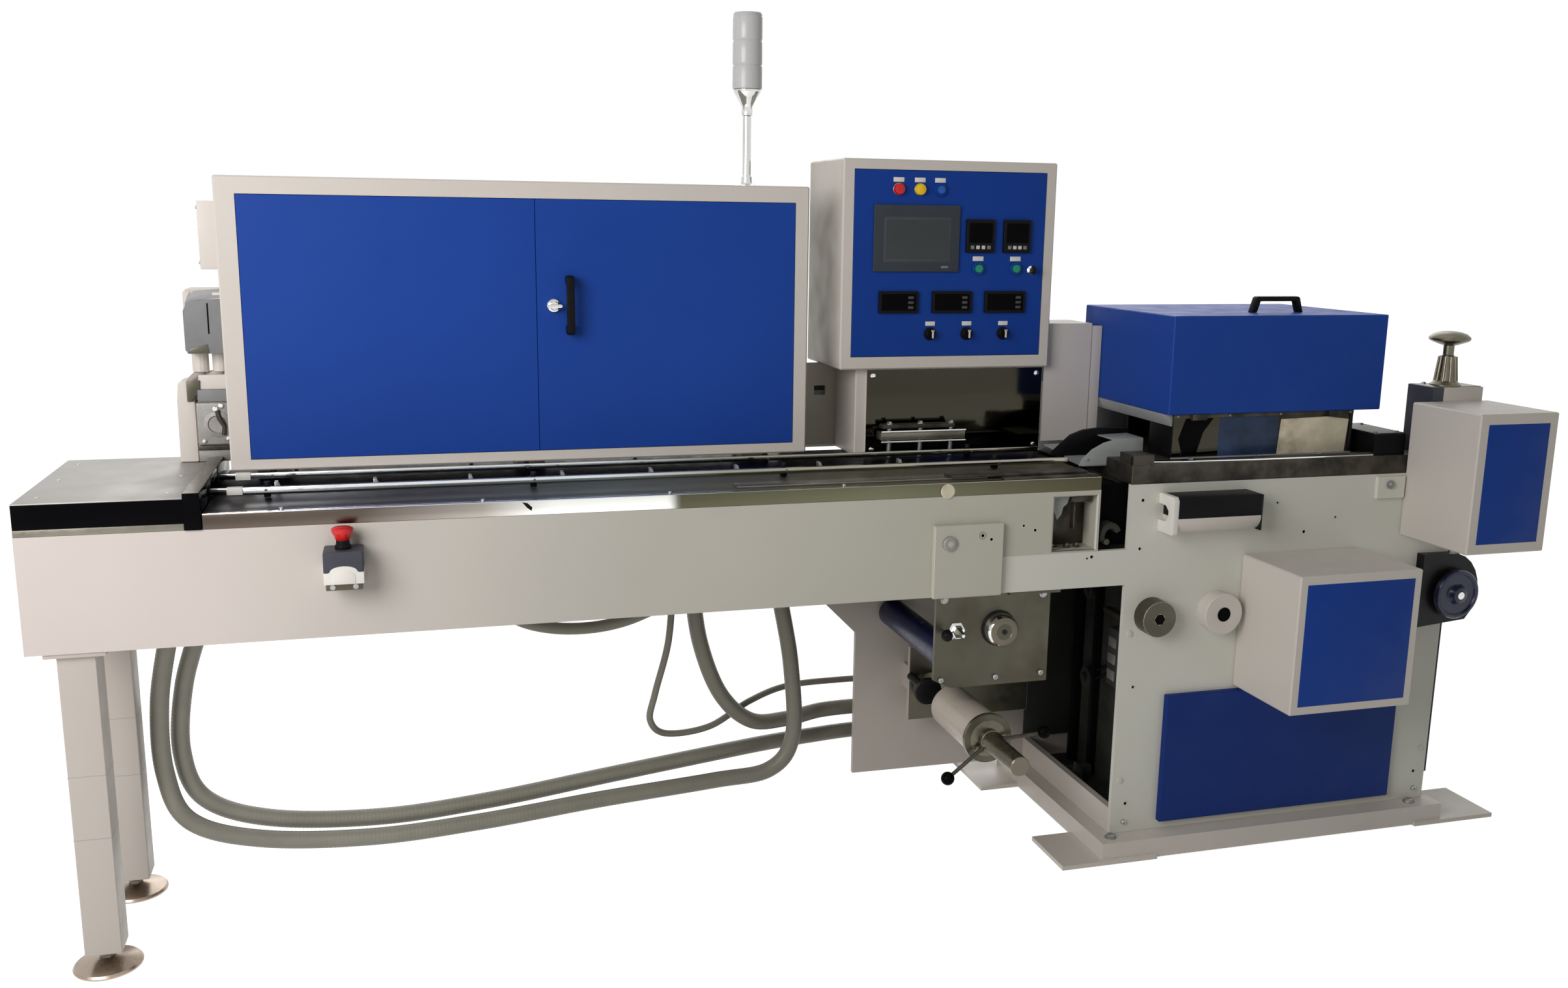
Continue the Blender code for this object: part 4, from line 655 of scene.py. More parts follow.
def legs():
    """The two legs, each with its seams, top flange and round foot."""
    for name, y in (("leg_front", 0.0145), ("leg_rear", 0.317)):
        leg = Piece(name + "_post", slot="cream")
        x0, x1, y1 = 0.047, 0.112, y + 0.065
        # the post is in a darker copy of the cream as painted shade
        leg.box((x0, x1), (y, y1), (0.037, BEAM_Z[0] - 0.0085), "cream_painted_shade", 0.003, steps=3)
        for z in (0.27, 0.393):
            leg.box((x0 - 0.0002, x1 + 0.0002), (y - 0.0002, y1 + 0.0002), (z, z + 0.001), "duct", 0.0002)
        leg.box((x0 - 0.019, x1 + 0.019), (max(y - 0.011, 0.0025), y1 + 0.019),
            (BEAM_Z[0] - 0.0088, BEAM_Z[0] - 0.0005), "cream_painted_shade", 0.0012)
        for dx, dy in ((-0.012, y + 0.018), (0.077, y + 0.018), (-0.012, y1 + 0.01), (0.077, y1 + 0.01)):
            leg.hex_bolt("Z", (x0 + dx, dy, BEAM_Z[0] - 0.0088), 0.005, "zinc", -1)
        centre = ((x0 + x1) / 2, y + 0.0325, 0)
        leg.turn("Z", centre, [(0.058, 0.0002), (0.0612, 0.0012), (0.0615, 0.004), (0.058, 0.008),
            (0.042, 0.012), (0.026, 0.016), (0.0165, 0.0185), (0.014, 0.02)], "foot_steel", 56)
        leg.turn("Z", centre, [(0.0135, 0.018), (0.0135, 0.0265), (0.008, 0.0272), (0.008, 0.036),
            (0.015, 0.0362), (0.015, 0.045), (0.0142, 0.0462), (0, 0.0463)], "satin", 6)
        leg.rod("Z", (centre[0], centre[1], 0.02), 0.0078, 0.02, "zinc", 20)
        leg.done(name)


# ---------------------------------------------------------------- electrical cabinet
def cabinet():
    """The electrical cabinet: fittings inside, doors, handle, lock and signal tower."""
    coat("cream", "cabinet_shell")
    coat("blue", "cabinet_door_left", "cabinet_door_right")
    # measured from the left wall and from the face of the back wall
    wide = 1.179
    inside = Piece("cabinet_fittings", at=(0.333, 0.548, 0))
    inside.box((0.05, wide - 0.05), (-0.006, -0.003), (0.945, 1.44), "zinc", 0.0008)
    for z in (0.958, 1.1, 1.245, 1.412):
        inside.box((0.075, wide - 0.075), (-0.052, -0.006), about(z, 0.0125), "duct", 0.0012)
        for k in range(54):
            x = 0.085 + k * 0.0193
            inside.box((x, x + 0.0035), (-0.0528, -0.012), about(z, 0.0128), "grey", 0)
    for x in (0.055, wide - 0.08):
        inside.box((x, x + 0.025), (-0.052, -0.006), (0.958, 1.412), "duct", 0.0012)
    for z in (1.03, 1.172, 1.33):
        inside.box((0.09, wide - 0.09), (-0.014, -0.006), about(z, 0.0175), "zinc", 0.0008)
    for i in range(7):
        x = 0.11 + i * 0.056
        inside.box((x, x + 0.045), (-0.09, -0.012), (1.292, 1.372), "grey_dark", 0.002)
        inside.box((x + 0.004, x + 0.041), (-0.0935, -0.088), (1.305, 1.358), "black", 0.0015)
        inside.box((x + 0.014, x + 0.031), (-0.095, -0.092), (1.322, 1.342), "white", 0.0008)
        for k in range(3):
            for z in (1.366, 1.298):
                inside.screw("Y", (x + 0.01 + 0.0125 * k, -0.09, z), 0.003, "zinc")
    for i in range(12):
        x = 0.545 + i * 0.0182
        inside.box((x, x + 0.0176), (-0.08, -0.012), (1.288, 1.372), "white", 0.001)
        inside.box((x + 0.005, x + 0.0126), (-0.088, -0.078), (1.322, 1.34), "black", 0.0008)
    for i in range(4):
        x = 0.8 + i * 0.072
        inside.box((x, x + 0.062), (-0.11, -0.012), (1.275, 1.385), "grey", 0.003)
        inside.box((x + 0.008, x + 0.054), (-0.1125, -0.108), (1.335, 1.375), "bezel", 0.0015)
        for k in range(7):
            inside.box((x + 0.01, x + 0.052), (-0.1108, -0.109), (1.283 + k * 0.006, 1.286 + k * 0.006),
                "black", 0)
    for i in range(3):
        x = 0.115 + i * 0.165
        inside.box((x, x + 0.135), (-0.14, -0.01), (1.125, 1.222), "grey_dark", 0.003)
        inside.box((x + 0.012, x + 0.08), (-0.1425, -0.138), (1.16, 1.212), "bezel", 0.0015)
        inside.box((x + 0.02, x + 0.072), (-0.1438, -0.142), (1.185, 1.206), "screen", 0.0008)
        for k in range(6):
            inside.screw("Y", (x + 0.018 + 0.018 * k, -0.14, 1.136), 0.0042, "zinc")
        for k in range(9):
            inside.box((x + 0.094 + k * 0.004, x + 0.0955 + k * 0.004), (-0.141, -0.138), (1.15, 1.21),
                "black", 0)
    for i in range(36):
        x = 0.63 + i * 0.0128
        look_ = ("grey", "duct", "lamp_blue", "yellow")[i // 9]
        inside.box((x, x + 0.012), (-0.052, -0.012), (1.146, 1.198), look_, 0.0008)
        for z in (1.188, 1.156):
            inside.screw("Y", (x + 0.006, -0.052, z), 0.0028, "zinc")
    inside.box((0.12, 0.3), (-0.12, -0.008), (0.985, 1.072), "rough_iron", 0.004)
    inside.box((0.14, 0.28), (-0.124, -0.118), (0.995, 1.06), "wire", 0.01)
    for i in range(16):
        x = 0.4 + i * 0.04
        inside.box((x, x + 0.022), (-0.07, -0.012), (1.006, 1.054), "black" if i % 3 else "white", 0.0012)
        inside.box((x + 0.003, x + 0.019), (-0.0725, -0.068), (1.018, 1.044), "duct", 0.0008)
    for i in range(14):
        x = 0.13 + i * 0.074
        drop = 0.006 * ((i * 5) % 7)
        inside.tube([(x, -0.06, 1.246), (x + 0.002, -0.075, 1.238), (x + 0.004 + drop / 2, -0.082, 1.228),
            (x + 0.006 + drop, -0.08, 1.212)], 0.0016, ("wire", "red", "lamp_blue")[i % 3], 6)
    inside.done()

    # gaskets and stiffeners of the doors
    for name, body, a, b in (("door_left_trim", "left_door", 0.3679, 0.93455),
            ("door_right_trim", "right_door", 0.93545, 1.4851)):
        trim = Piece(name, body)
        inner = DOOR_Y + 0.0184
        for x in ((a + 0.012, a + 0.02), (b - 0.02, b - 0.012)):
            trim.box(x, (inner - 0.001, inner + 0.003), (0.942, 1.422), "black", 0.0015)
        for z in ((0.942, 0.95), (1.414, 1.422)):
            trim.box((a + 0.012, b - 0.012), (inner - 0.001, inner + 0.003), z, "black", 0.0015)
        for z in (1.045, 1.18, 1.315):
            trim.box((a + 0.06, b - 0.06), (inner - 0.001, inner + 0.0065), about(z, 0.014), "blue", 0.002)
        trim.done()

    seam = Piece("door_gap_shadow")
    for x in (0.3679, 1.4851):
        seam.box(about(x, 0.0007), (DOOR_Y + 0.0195, DOOR_Y + 0.0205), (0.926, 1.44), "hole", 0)
    seam.done()

    handle = Piece("door_pull", "right_door", slot="black")
    face = DOOR_Y - EPS
    x, low, high = 1.001, 1.165, 1.29
    outer = [(0.0002, 0.004), (0.022, 0.002), (0.033, 0.006), (0.0338, 0.014)]
    inner = [(0.0235, 0.022), (0.0002, 0.02)]
    pull = [(face - u, low + v) for u, v in outer] + [(face - u, high - v) for u, v in reversed(outer)]
    pull += [(face - u, high - v) for u, v in reversed(inner)] + [(face - u, low + v) for u, v in inner]
    handle.prism("X", pull, about(x, 0.008), "black", 0.0022)
    for z in (low + 0.0115, high - 0.0115):
        handle.screw("Y", (x, face - 0.0305, z), 0.0032, "black_metal")
    handle.done("door_handle")

    lock = Piece("door_latch", "door_lock_body", slot="chrome", at=(0.969, face, 1.226))
    lock.turn("Y", (0, 0, 0), [(0.0148, 0), (0.0146, -0.0035), (0.0128, -0.0058), (0.01, -0.0066),
        (0.0092, -0.01), (0.0088, -0.0175), (0.0078, -0.0185), (0, -0.0186)], "chrome", 44)
    lock.prism("Y", [(-0.0155, -0.0022), (-0.012, -0.0036), (0.012, -0.0036), (0.0155, -0.0022),
        (0.0155, 0.0022), (0.012, 0.0036), (-0.012, 0.0036), (-0.0155, 0.0022)], (-0.0258, -0.0165),
        "chrome", 0.0012)
    lock.done("door_lock")

    tower = Piece("tower_stem", slot="chrome")
    x, y, z = 1.412, 0.42, 1.4754
    tower.turn("Z", (x, y, z), [(0.0258, 0), (0.0258, 0.003), (0.0235, 0.0042), (0.013, 0.0065),
        (0.0118, 0.01), (0.0112, 0.022), (0.0092, 0.024), (0.0092, 0.15), (0.0118, 0.152), (0.0118, 0.17),
        (0.015, 0.176), (0.0225, 0.19), (0.0295, 0.201), (0.0298, 0.2057)], "chrome", 48)
    for a in (45, 135, 225, 315):
        tower.screw("Z", (x + 0.019 * math.cos(math.radians(a)), y + 0.019 * math.sin(math.radians(a)),
            z + 0.004), 0.0024, "zinc", 1)
    tower.done("tower_pole")
    lens = Piece("tower_tiers", slot="lens")
    z += 0.2063
    profile = [(0.0285, 0)]
    for tier in range(3):
        base = 0.0515 * tier
        profile += [(0.0318, base + 0.0012), (0.0322, base + 0.004), (0.0322, base + 0.0465),
            (0.0312, base + 0.0492), (0.0306, base + 0.05)]
    profile += [(0.0318, 0.155), (0.03, 0.159), (0.02, 0.1615), (0.0, 0.1625)]
    lens.turn("Z", (x, y, z), profile, "lens", 56)
    lens.done("tower_lens")
    side_boxes()


def side_boxes():
    """Boxes and conduit on the cabinet's left wall, and the gearbox on the tail cover."""
    wall = 0.3288
    side = Piece("side_junctions")
    side.box((0.2955, wall), (0.3045, 0.4055), (1.2965, 1.4265), "cream_clean", 0.0022)
    side.box((0.2945, 0.2965), (0.311, 0.399), (1.303, 1.42), "cream_clean", 0.0015)
    for y, z in ((0.316, 1.309), (0.394, 1.309), (0.316, 1.414), (0.394, 1.414)):
        side.screw("X", (0.2947, y, z), 0.003, "zinc")
    shell = [(0.2512, 1.136), (0.258, 1.1288), (wall, 1.1288), (wall, 1.238), (0.266, 1.234),
        (0.2575, 1.226), (0.2512, 1.214)]
    side.prism("Y", shell, (0.3488, 0.4412), "grey", 0.0012)
    hood = [(0.2525, 1.212), (0.258, 1.225), (0.2665, 1.233), (wall, 1.24), (wall, 1.2568), (0.274, 1.253),
        (0.261, 1.242)]
    side.prism("Y", hood, (0.348, 0.442), "duct", 0.003)
    side.box((0.308, wall), (0.346, 0.35), (1.244, 1.25), "cream_clean", 0.0012)
    side.box((0.2955, 0.2985), (0.3484, 0.35), (1.168, 1.229), "hole", 0.0005)
    side.prism("Y", [(0.254, 1.13), (0.296, 1.13), (0.293, 1.148), (0.262, 1.14)], (0.3476, 0.349),
        "brown_steel", 0.0008)
    for x, foot_x, r in ((0.272, 0.252, 0.0152), (0.308, 0.266, 0.0132)):
        side.turn("Z", (x, 0.395, 1.089), [(r - 0.003, 0), (r, 0.002), (r, 0.038), (r + 0.001, 0.0395)],
            "pipe", 28)
        bend = [(x, 0.395, 1.094), (x, 0.395, 1.09), (x * 0.6 + foot_x * 0.4, 0.398, 1.082),
            (foot_x, 0.402, 1.07), (foot_x, 0.402, 1.064)]
        side.tube(spline(bend, 8), 0.0086, "pipe", 20)
    side.done()

    gear = Piece("tail_gear_unit", slot="grey")
    gear.box((0.2585, 0.328), (0.3722, 0.4442), (0.9405, 1.029), "alu", 0.006, steps=3)
    gear.box((0.264, 0.328), (0.376, 0.444), (1.029, 1.054), "grey", 0.002)
    gear.box((0.267, 0.328), (0.38, 0.444), (1.054, 1.0836), "cream_clean", 0.0025)
    gear.box((0.265, 0.328), (0.375, 0.38), (1.024, 1.03), "rough_iron", 0.001)
    gear.turn("Y", (0.298, 0.3722, 0.984), [(0.026, 0), (0.026, -0.002), (0.018, -0.003), (0.016, -0.001),
        (0, -0.0008)], "alu", 32)
    for x, z, r in ((0.296, 1.015, 0.0056), (0.307, 1.022, 0.0052), (0.318, 0.955, 0.005),
            (0.272, 0.95, 0.004)):
        gear.turn("Y", (x, 0.3722, z), [(r, 0), (r, -0.004), (r * 0.8, -0.0052), (0, -0.0056)], "bright", 20)
    gear.tube([(0.3, 0.37, 1.012), (0.303, 0.368, 0.996), (0.312, 0.369, 0.98), (0.31, 0.37, 0.962)], 0.0048,
        "rough_iron", 12)
    gear.box((0.2585, 0.328), (0.38, 0.4396), (0.9066, 0.941), "alu", 0.002)
    gear.box((0.2585, 0.32), (0.374, 0.38), (0.93, 0.94), "rough_iron", 0.002)
    duct = [(0.2228, 0.9066), (0.258, 0.9066), (0.258, 1.064), (0.244, 1.073), (0.233, 1.0722),
        (0.2275, 1.066), (0.224, 1.03)]
    gear.prism("Y", duct, (0.3802, 0.4394), "cream_clean", 0.0035)
    gear.prism("Y", [(0.244, 1.03), (0.256, 1.03), (0.26, 1.042), (0.269, 1.048), (0.27, 1.073),
        (0.244, 1.073)], (0.377, 0.3806), "brown_steel", 0.001)
    gear.done("tail_gearbox")


# ---------------------------------------------------------------- control box
def lamp(piece, x, z, look_):
    """A round pilot lamp in a chrome ring."""
    piece.turn("Y", (x, 0, z), [(0.0135, 0), (0.0135, -0.002), (0.0126, -0.003), (0.0122, -0.0032)], "satin",
        36)
    piece.turn("Y", (x, 0, z), [(0.0126, -0.002), (0.0126, -0.0085), (0.011, -0.0112), (0.007, -0.013),
        (0, -0.0136)], look_, 36)


def tag(piece, x, z, w, h):
    """A white label plate over a device."""
    piece.box(about(x, w), (-0.0012, 0.0004), about(z, h), "white", 0.0008)


def control_panel():
    """The control box: lamps, buttons, displays, selectors and its fittings."""
    coat("cream", "control_box")
    # the control door's blue is a darker copy as painted shade
    coat("blue_mild_painted_shade", "control_door")
    face = PANEL_Y - 0.0001
    body = "panel_door"
    lamps, lamp_z = (1.734, 1.784, 1.832), 1.475
    buttons, button_z = (1.93, 2.022), 1.3025
    selectors, selector_z = (1.819, 1.908, 1.998), 1.156

    trim = Piece("panel_devices", body, at=(0, face, 0))
    for x, look_ in zip(lamps, ("red", "yellow")):
        lamp(trim, x, lamp_z, look_)
    for row, z, wide, tall in ((lamps, 1.4955, 0.0125, 0.005), (buttons, 1.3245, 0.013, 0.0052),
            (selectors, 1.179, 0.0115, 0.0048)):
        for x in row:
            tag(trim, x, z, wide, tall)
    for a, b in ((1.897, 1.965), (1.988, 2.054)):
        low, high = 1.338, 1.412
        trim.box((a, b), (-0.01, 0), (low, high), "black", 0.0025, steps=3)
        trim.box((a + 0.006, b - 0.006), (-0.0112, -0.0085), (low + 0.022, high - 0.008), "black_gloss",
            0.0015)
        trim.box((a + 0.01, b - 0.01), (-0.0116, -0.0105), (low + 0.03, high - 0.012), "black_gloss", 0.0004)
        for k in range(4):
            x = a + 0.014 + k * (b - a - 0.028) / 3
            trim.box(about(x, 0.0042), (-0.0116, -0.0095), (low + 0.008, low + 0.016),
                "digits" if k % 3 else "grey", 0.001)
    for a, b in ((1.693, 1.786), (1.82, 1.916), (1.948, 2.048)):
        low, high = 1.203, 1.252
        trim.box((a, b), (-0.0085, 0), (low, high), "black", 0.0022, steps=3)
        trim.box((a + 0.006, b - 0.006), (-0.0096, -0.0075), (low + 0.006, high - 0.006), "black_gloss",
            0.0014)
        trim.box((a + 0.012, b - 0.03), (-0.0099, -0.009), (low + 0.013, high - 0.012), "black_gloss",
            0.0004)
        for k in range(3):
            trim.box((b - 0.025, b - 0.012), (-0.0101, -0.009),
                (low + 0.01 + k * 0.011, low + 0.016 + k * 0.011), "grey_dark", 0.001)
    trim.done()

    hmi = Piece("touch_panel", body, slot="black", at=(0, face, 0))
    hmi.box((1.6775, 1.8815), (-0.0062, -0.0002), (1.2945, 1.4415), "bezel", 0.0028, steps=3)
    hmi.box((1.7, 1.859), (-0.0068, -0.005), (1.3165, 1.415), "grey_dark", 0.0012)
    hmi.box((1.706, 1.855), (-0.0072, -0.006), (1.323, 1.409), "screen", 0.0006)
    hmi.box((1.838, 1.855), (-0.0068, -0.006), (1.3035, 1.308), "grey", 0.0004)
    hmi.done("hmi_unit")

    for name, moving, x, z, look_ in (("blue_button", "blue_button_body", lamps[2], lamp_z, "lamp_blue"),
            ("green_button_left", "green_left_body", buttons[0], button_z, "green"),
            ("green_button_right", "green_right_body", buttons[1], button_z, "green")):
        cap = Piece(name + "_cap", moving, slot="blue" if "blue" in name else "green")
        cap.turn("Y", (x, PANEL_Y, z), [(0.0094, -0.0046), (0.0094, -0.0096), (0.0086, -0.011),
            (0.006, -0.0114), (0, -0.0115)], look_, 36)
        cap.done(name)
        rim = Piece(name + "_ring", body)
        rim.sleeve("Y", (x, PANEL_Y + 0.0002, z), 0.0104, 0.0133, -0.0066, look_, 40, 0.001)
        rim.done()

    for i, x in enumerate(selectors):
        knob = Piece(f"selector_{i + 1}_knob", f"selector_{i + 1}_body", slot="black",
            at=(x, face, selector_z))
        knob.turn("Y", (0, 0, 0), [(0.0147, 0), (0.0147, -0.0022), (0.0134, -0.0038), (0.0118, -0.0042),
            (0.0114, -0.0092), (0.0104, -0.0102), (0, -0.0103)], "black", 40)
        knob.prism("Y", [(-0.004, -0.0096), (0, -0.0106), (0.004, -0.0096), (0.0036, 0.0098), (0, 0.0108),
            (-0.0036, 0.0098)], (-0.0196, -0.0095), "black", 0.0012)
        knob.box((-0.002, 0.002), (-0.0201, -0.0188), (-0.0086, 0.0094), "white", 0.0006)
        knob.box((-0.0034, 0.0034), (-0.0201, -0.018), (0.006, 0.0096), "white", 0.0006)
        knob.done(f"selector_{i + 1}")

    lock = Piece("panel_key_lock", "panel_lock_body", slot="chrome", at=(2.062, face, 1.299))
    lock.turn("Y", (0, 0, 0), [(0.0099, 0), (0.0099, -0.0024), (0.0082, -0.004), (0.0062, -0.0056),
        (0, -0.0058)], "chrome", 36)
    lock.prism("Y", [(-0.0012, -0.004), (0.0012, -0.004), (0.0012, 0.01), (-0.0012, 0.01)], (-0.012, -0.005),
        "chrome", 0.0004)
    lock.turn("X", (-0.0016, -0.015, 0.001), [(0.0045, 0), (0.0092, 0), (0.0092, 0.0032), (0.0045, 0.0032)],
        "black", 28)
    lock.done("panel_lock")

    inside = Piece("control_box_fittings")
    inside.box((1.64, 2.085), (0.562, 0.565), (1.115, 1.505), "zinc", 0.0008)
    for z in (1.13, 1.3, 1.485):
        inside.box((1.655, 2.07), (0.52, 0.562), about(z, 0.012), "duct", 0.0012)
    for i in range(8):
        x = 1.665 + i * 0.048
        inside.box((x, x + 0.04), (0.48, 0.56), (1.345, 1.43), "grey_dark" if i % 2 else "black", 0.0022)
        inside.box((x + 0.006, x + 0.034), (0.4775, 0.482), (1.36, 1.415), "duct", 0.001)
    for i in range(28):
        x = 1.665 + i * 0.014
        inside.box((x, x + 0.013), (0.515, 0.56), (1.19, 1.245), "duct" if i % 7 else "lamp_blue", 0.001)
        inside.screw("Y", (x + 0.0065, 0.515, 1.235), 0.0028, "zinc")
    inside.done()

    backs = Piece("panel_device_backs", body)
    inner = PANEL_Y + 0.0184
    backs.box((1.688, 1.871), (inner - 0.001, inner + 0.038), (1.305, 1.431), "grey_dark", 0.0025)
    for a, b in ((1.901, 1.961), (1.992, 2.05)):
        backs.box((a, b), (inner - 0.001, inner + 0.07), (1.342, 1.408), "black", 0.0025)
    for a, b in ((1.697, 1.782), (1.824, 1.912), (1.952, 2.044)):
        backs.box((a, b), (inner - 0.001, inner + 0.075), (1.207, 1.248), "black", 0.0025)
    rows = ((lamps, lamp_z), (buttons, button_z), (selectors, selector_z))
    for x, z in [(x, z) for row, z in rows for x in row]:
        backs.rod("Y", (x, inner - 0.001, z), 0.012, 0.014, "black", 24)
        backs.box(about(x, 0.013), (inner + 0.01, inner + 0.046), about(z, 0.013), "grey", 0.0015)
    backs.done()


def column():
    """The column under the control box, with the mirror plate and its adjuster."""
    coat("cream_clean", "control_column")
    trim = Piece("column_mirror")
    y = 0.3457
    trim.box((1.6785, 2.1135), (y, y + 0.0014), (0.8785, 1.0735), "mirror", 0.0005)
    for x, z in ((1.693, 1.06), (2.099, 1.06), (1.693, 0.89), (2.099, 0.89)):
        trim.turn("Y", (x, y, z), [(0.0066, 0), (0.0064, -0.0012), (0.004, -0.0024), (0, -0.0027)], "chrome",
            24)
    # a dark plate painted as shade behind the column's hole
    trim.box((1.5985, 1.63), (0.5082, 0.5096), (0.9985, 1.0235), "shade", 0.0004)
    trim.box((1.5985, 1.63), (0.5076, 0.5084), (0.9985, 1.0095), "duct", 0.0002)
    # white kick strips at the foot of the column
    trim.box((1.655, 2.113), (0.34, 0.346), (0.8765, 0.88), "white", 0.0008)
    trim.box((1.5175, 1.66), (0.49, 0.4975), (0.8765, 0.8815), "white", 0.0008)
    # adjuster hanging in front of the mirror plate
    trim.box((1.7, 1.905), (0.3, 0.333), (0.918, 0.936), "satin", 0.002)
    trim.box((1.7, 1.905), (0.296, 0.3), (0.936, 0.94), "bright", 0.0008)
    trim.box((1.705, 1.88), (0.303, 0.33), (0.944, 0.953), "rough_iron", 0.0015)
    trim.box((1.7, 1.905), (0.296, 0.305), (0.913, 0.9165), "bright", 0.0008)
    for x in (1.725, 1.8, 1.875):
        trim.rod("Z", (x, 0.316, 0.8768), 0.0055, 0.07, "zinc", 18)
        trim.hex_bolt("Z", (x, 0.316, 0.953), 0.006, "zinc", 1)
    trim.done()


def emergency_stop():
    """The stop station on the beam: an arched front and a mushroom button."""
    x0, x1, z0, z1, front = 0.511, 0.581, 0.736, 0.808, -0.063
    mid = (x0 + x1) / 2
    box = Piece("stop_station", slot="grey")
    box.box((x0, x1), (front + 0.0002, -0.0005), (z0 + 0.014, z1), "grey_dark", 0.0045, steps=3)
    arch = [(x0 - 0.0001, z0 + 0.012), (x1 + 0.0001, z0 + 0.012), (x1 + 0.0001, z0 + 0.034)]
    arch += [(mid + 0.027, z0 + 0.034)]
    arch += arc(mid, z0 + 0.036, 0.024, 0.01, 0, 18, 11)
    arch += [(mid - 0.027, z0 + 0.034), (x0 - 0.0001, z0 + 0.034)]
    box.prism("Y", arch, (front - 0.0001, -0.001), "white", 0.0012)
    arch = [(mid - 0.02, z0 + 0.014), (mid + 0.02, z0 + 0.014), (mid + 0.02, z0 + 0.026)]
    arch += arc(mid, z0 + 0.026, 0.02, 0.0125, 0, 18, 11)
    box.prism("Y", arch, (front - 0.0011, front + 0.004), "white", 0.0009)
    box.box((x0 + 0.003, x1 - 0.003), (front + 0.003, -0.0012), (z0, z0 + 0.015), "brown_steel", 0.002)
    for x in about(mid, 0.02):
        box.rod("Y", (x, front + 0.0005, z0 + 0.007), 0.005, 0.004, "zinc", 20)
    box.turn("Z", (mid, front / 2, z1 - 0.001), [(0.0148, 0), (0.0148, 0.006), (0.013, 0.0088),
        (0.0102, 0.0092)], "black", 36)
    box.done("estop_box")
    knob = Piece("stop_mushroom", "estop_body", slot="red")
    knob.turn("Z", (mid, front / 2, 0.8075), [(0.0122, 0.0004), (0.0126, 0.002), (0.012, 0.015),
        (0.0112, 0.018)], "black", 32)
    knob.turn("Z", (mid, front / 2, 0.8075), [(0.0112, 0.0165), (0.0128, 0.018), (0.015, 0.024),
        (0.018, 0.03), (0.0196, 0.034), (0.0194, 0.0375), (0.016, 0.0398), (0, 0.0405)], "red", 48)
    knob.done("estop_button")


# ---------------------------------------------------------------- base, plates and sealing head
def plates():
    """The front and rear plates with their bosses, holes and bolts."""
    coat("cream", "base_frame")
    # the front plate's cream is a lighter copy as painted light
    coat("cream_plate_painted_light", "front_plate")
    # the rear plate's cream is a darker copy as painted shade
    coat("cream_painted_shade", "rear_plate")
    coat("cream_clean", "profile_box")
    trim = Piece("plate_hardware")
    front = -0.0002
    # bearing bosses with their plugs, then the socket in each plug, its bottom a dark disc of painted shadow
    boss_z = 0.56
    for x, r, deep, look_ in ((2.234, 0.04, 0.04, "brown_steel"), (2.396, 0.046, 0.036, "cream_clean")):
        trim.turn("Y", (x, 0, boss_z), [(r + 0.0006, -0.0004), (r + 0.0006, 0.0012 - deep),
            (r - 0.001, -deep - 0.0004), (0.015, -deep - 0.0006), (0.0128, -deep - 0.0002),
            (0.0122, -deep + 0.003), (0.012, -deep + 0.015)], look_, 48)
        trim.turn("Y", (x, 0, boss_z), [(0.0121, -deep + 0.012), (0, -deep + 0.0122)], "hole", 24)
    trim.turn("Y", (2.396, 0, boss_z), [(0.0165, -0.0365), (0.016, -0.0372), (0, -0.0372)], "hole", 24)
    trim.turn("Y", (2.234, 0, boss_z), [(0.013, -0.0405), (0.0126, -0.0411), (0, -0.0411)], "hole", 6)
    trim.hex_bolt("Y", (2.821, front - 0.0122, 0.832), 0.007, "zinc")
    # drilled holes: a cream rim round a dark disc of painted shadow
    for x, z, r in ((2.1965, 0.82, 0.0048), (2.243, 0.812, 0.0034), (2.345, 0.795, 0.0042),
            (2.402, 0.776, 0.0034), (2.468, 0.752, 0.004), (2.535, 0.8, 0.0034), (2.196, 0.712, 0.0044),
            (2.61, 0.73, 0.005), (2.69, 0.76, 0.0034), (2.202, 0.118, 0.005), (2.98, 0.118, 0.005),
            (2.202, 0.395, 0.0044)):
        trim.sleeve("Y", (x, front - 0.0001, z), r * 0.7, r, -0.0005, "cream", 20, 0.0001)
        trim.turn("Y", (x, front, z), [(r * 0.72, -0.0002), (0, -0.0002)], "hole", 20)
    for x in (2.2, 2.33, 2.56, 2.79, 2.985):
        trim.screw("Y", (x, front, 0.0735), 0.006, "zinc")
    # bolts that hold the plates to the base
    for x in (2.185, 2.995):
        for z in (0.175, 0.52):
            trim.turn("Y", (x, front, z), [(0.0075, 0), (0.007, -0.0022), (0.004, -0.003), (0, -0.0031)],
                "cream", 24)
    trim.done()

    feet = Piece("base_feet")
    for x in (2.16, 2.96):
        for y in (-0.018, 0.492):
            feet.hex_bolt("Z", (x, y, 0.0484), 0.009, "zinc", 1)
    feet.done()

    back = Piece("rear_plate_hardware")
    for x in (1.745, 2.06, 2.42, 2.98):
        for z in (0.13, 0.43, 0.78):
            back.hex_bolt("Y", (x, REAR_FACE + 0.0004, z), 0.0075, "zinc", 1)
    back.done()
    profile_box()
    knob()
    dark_interior()


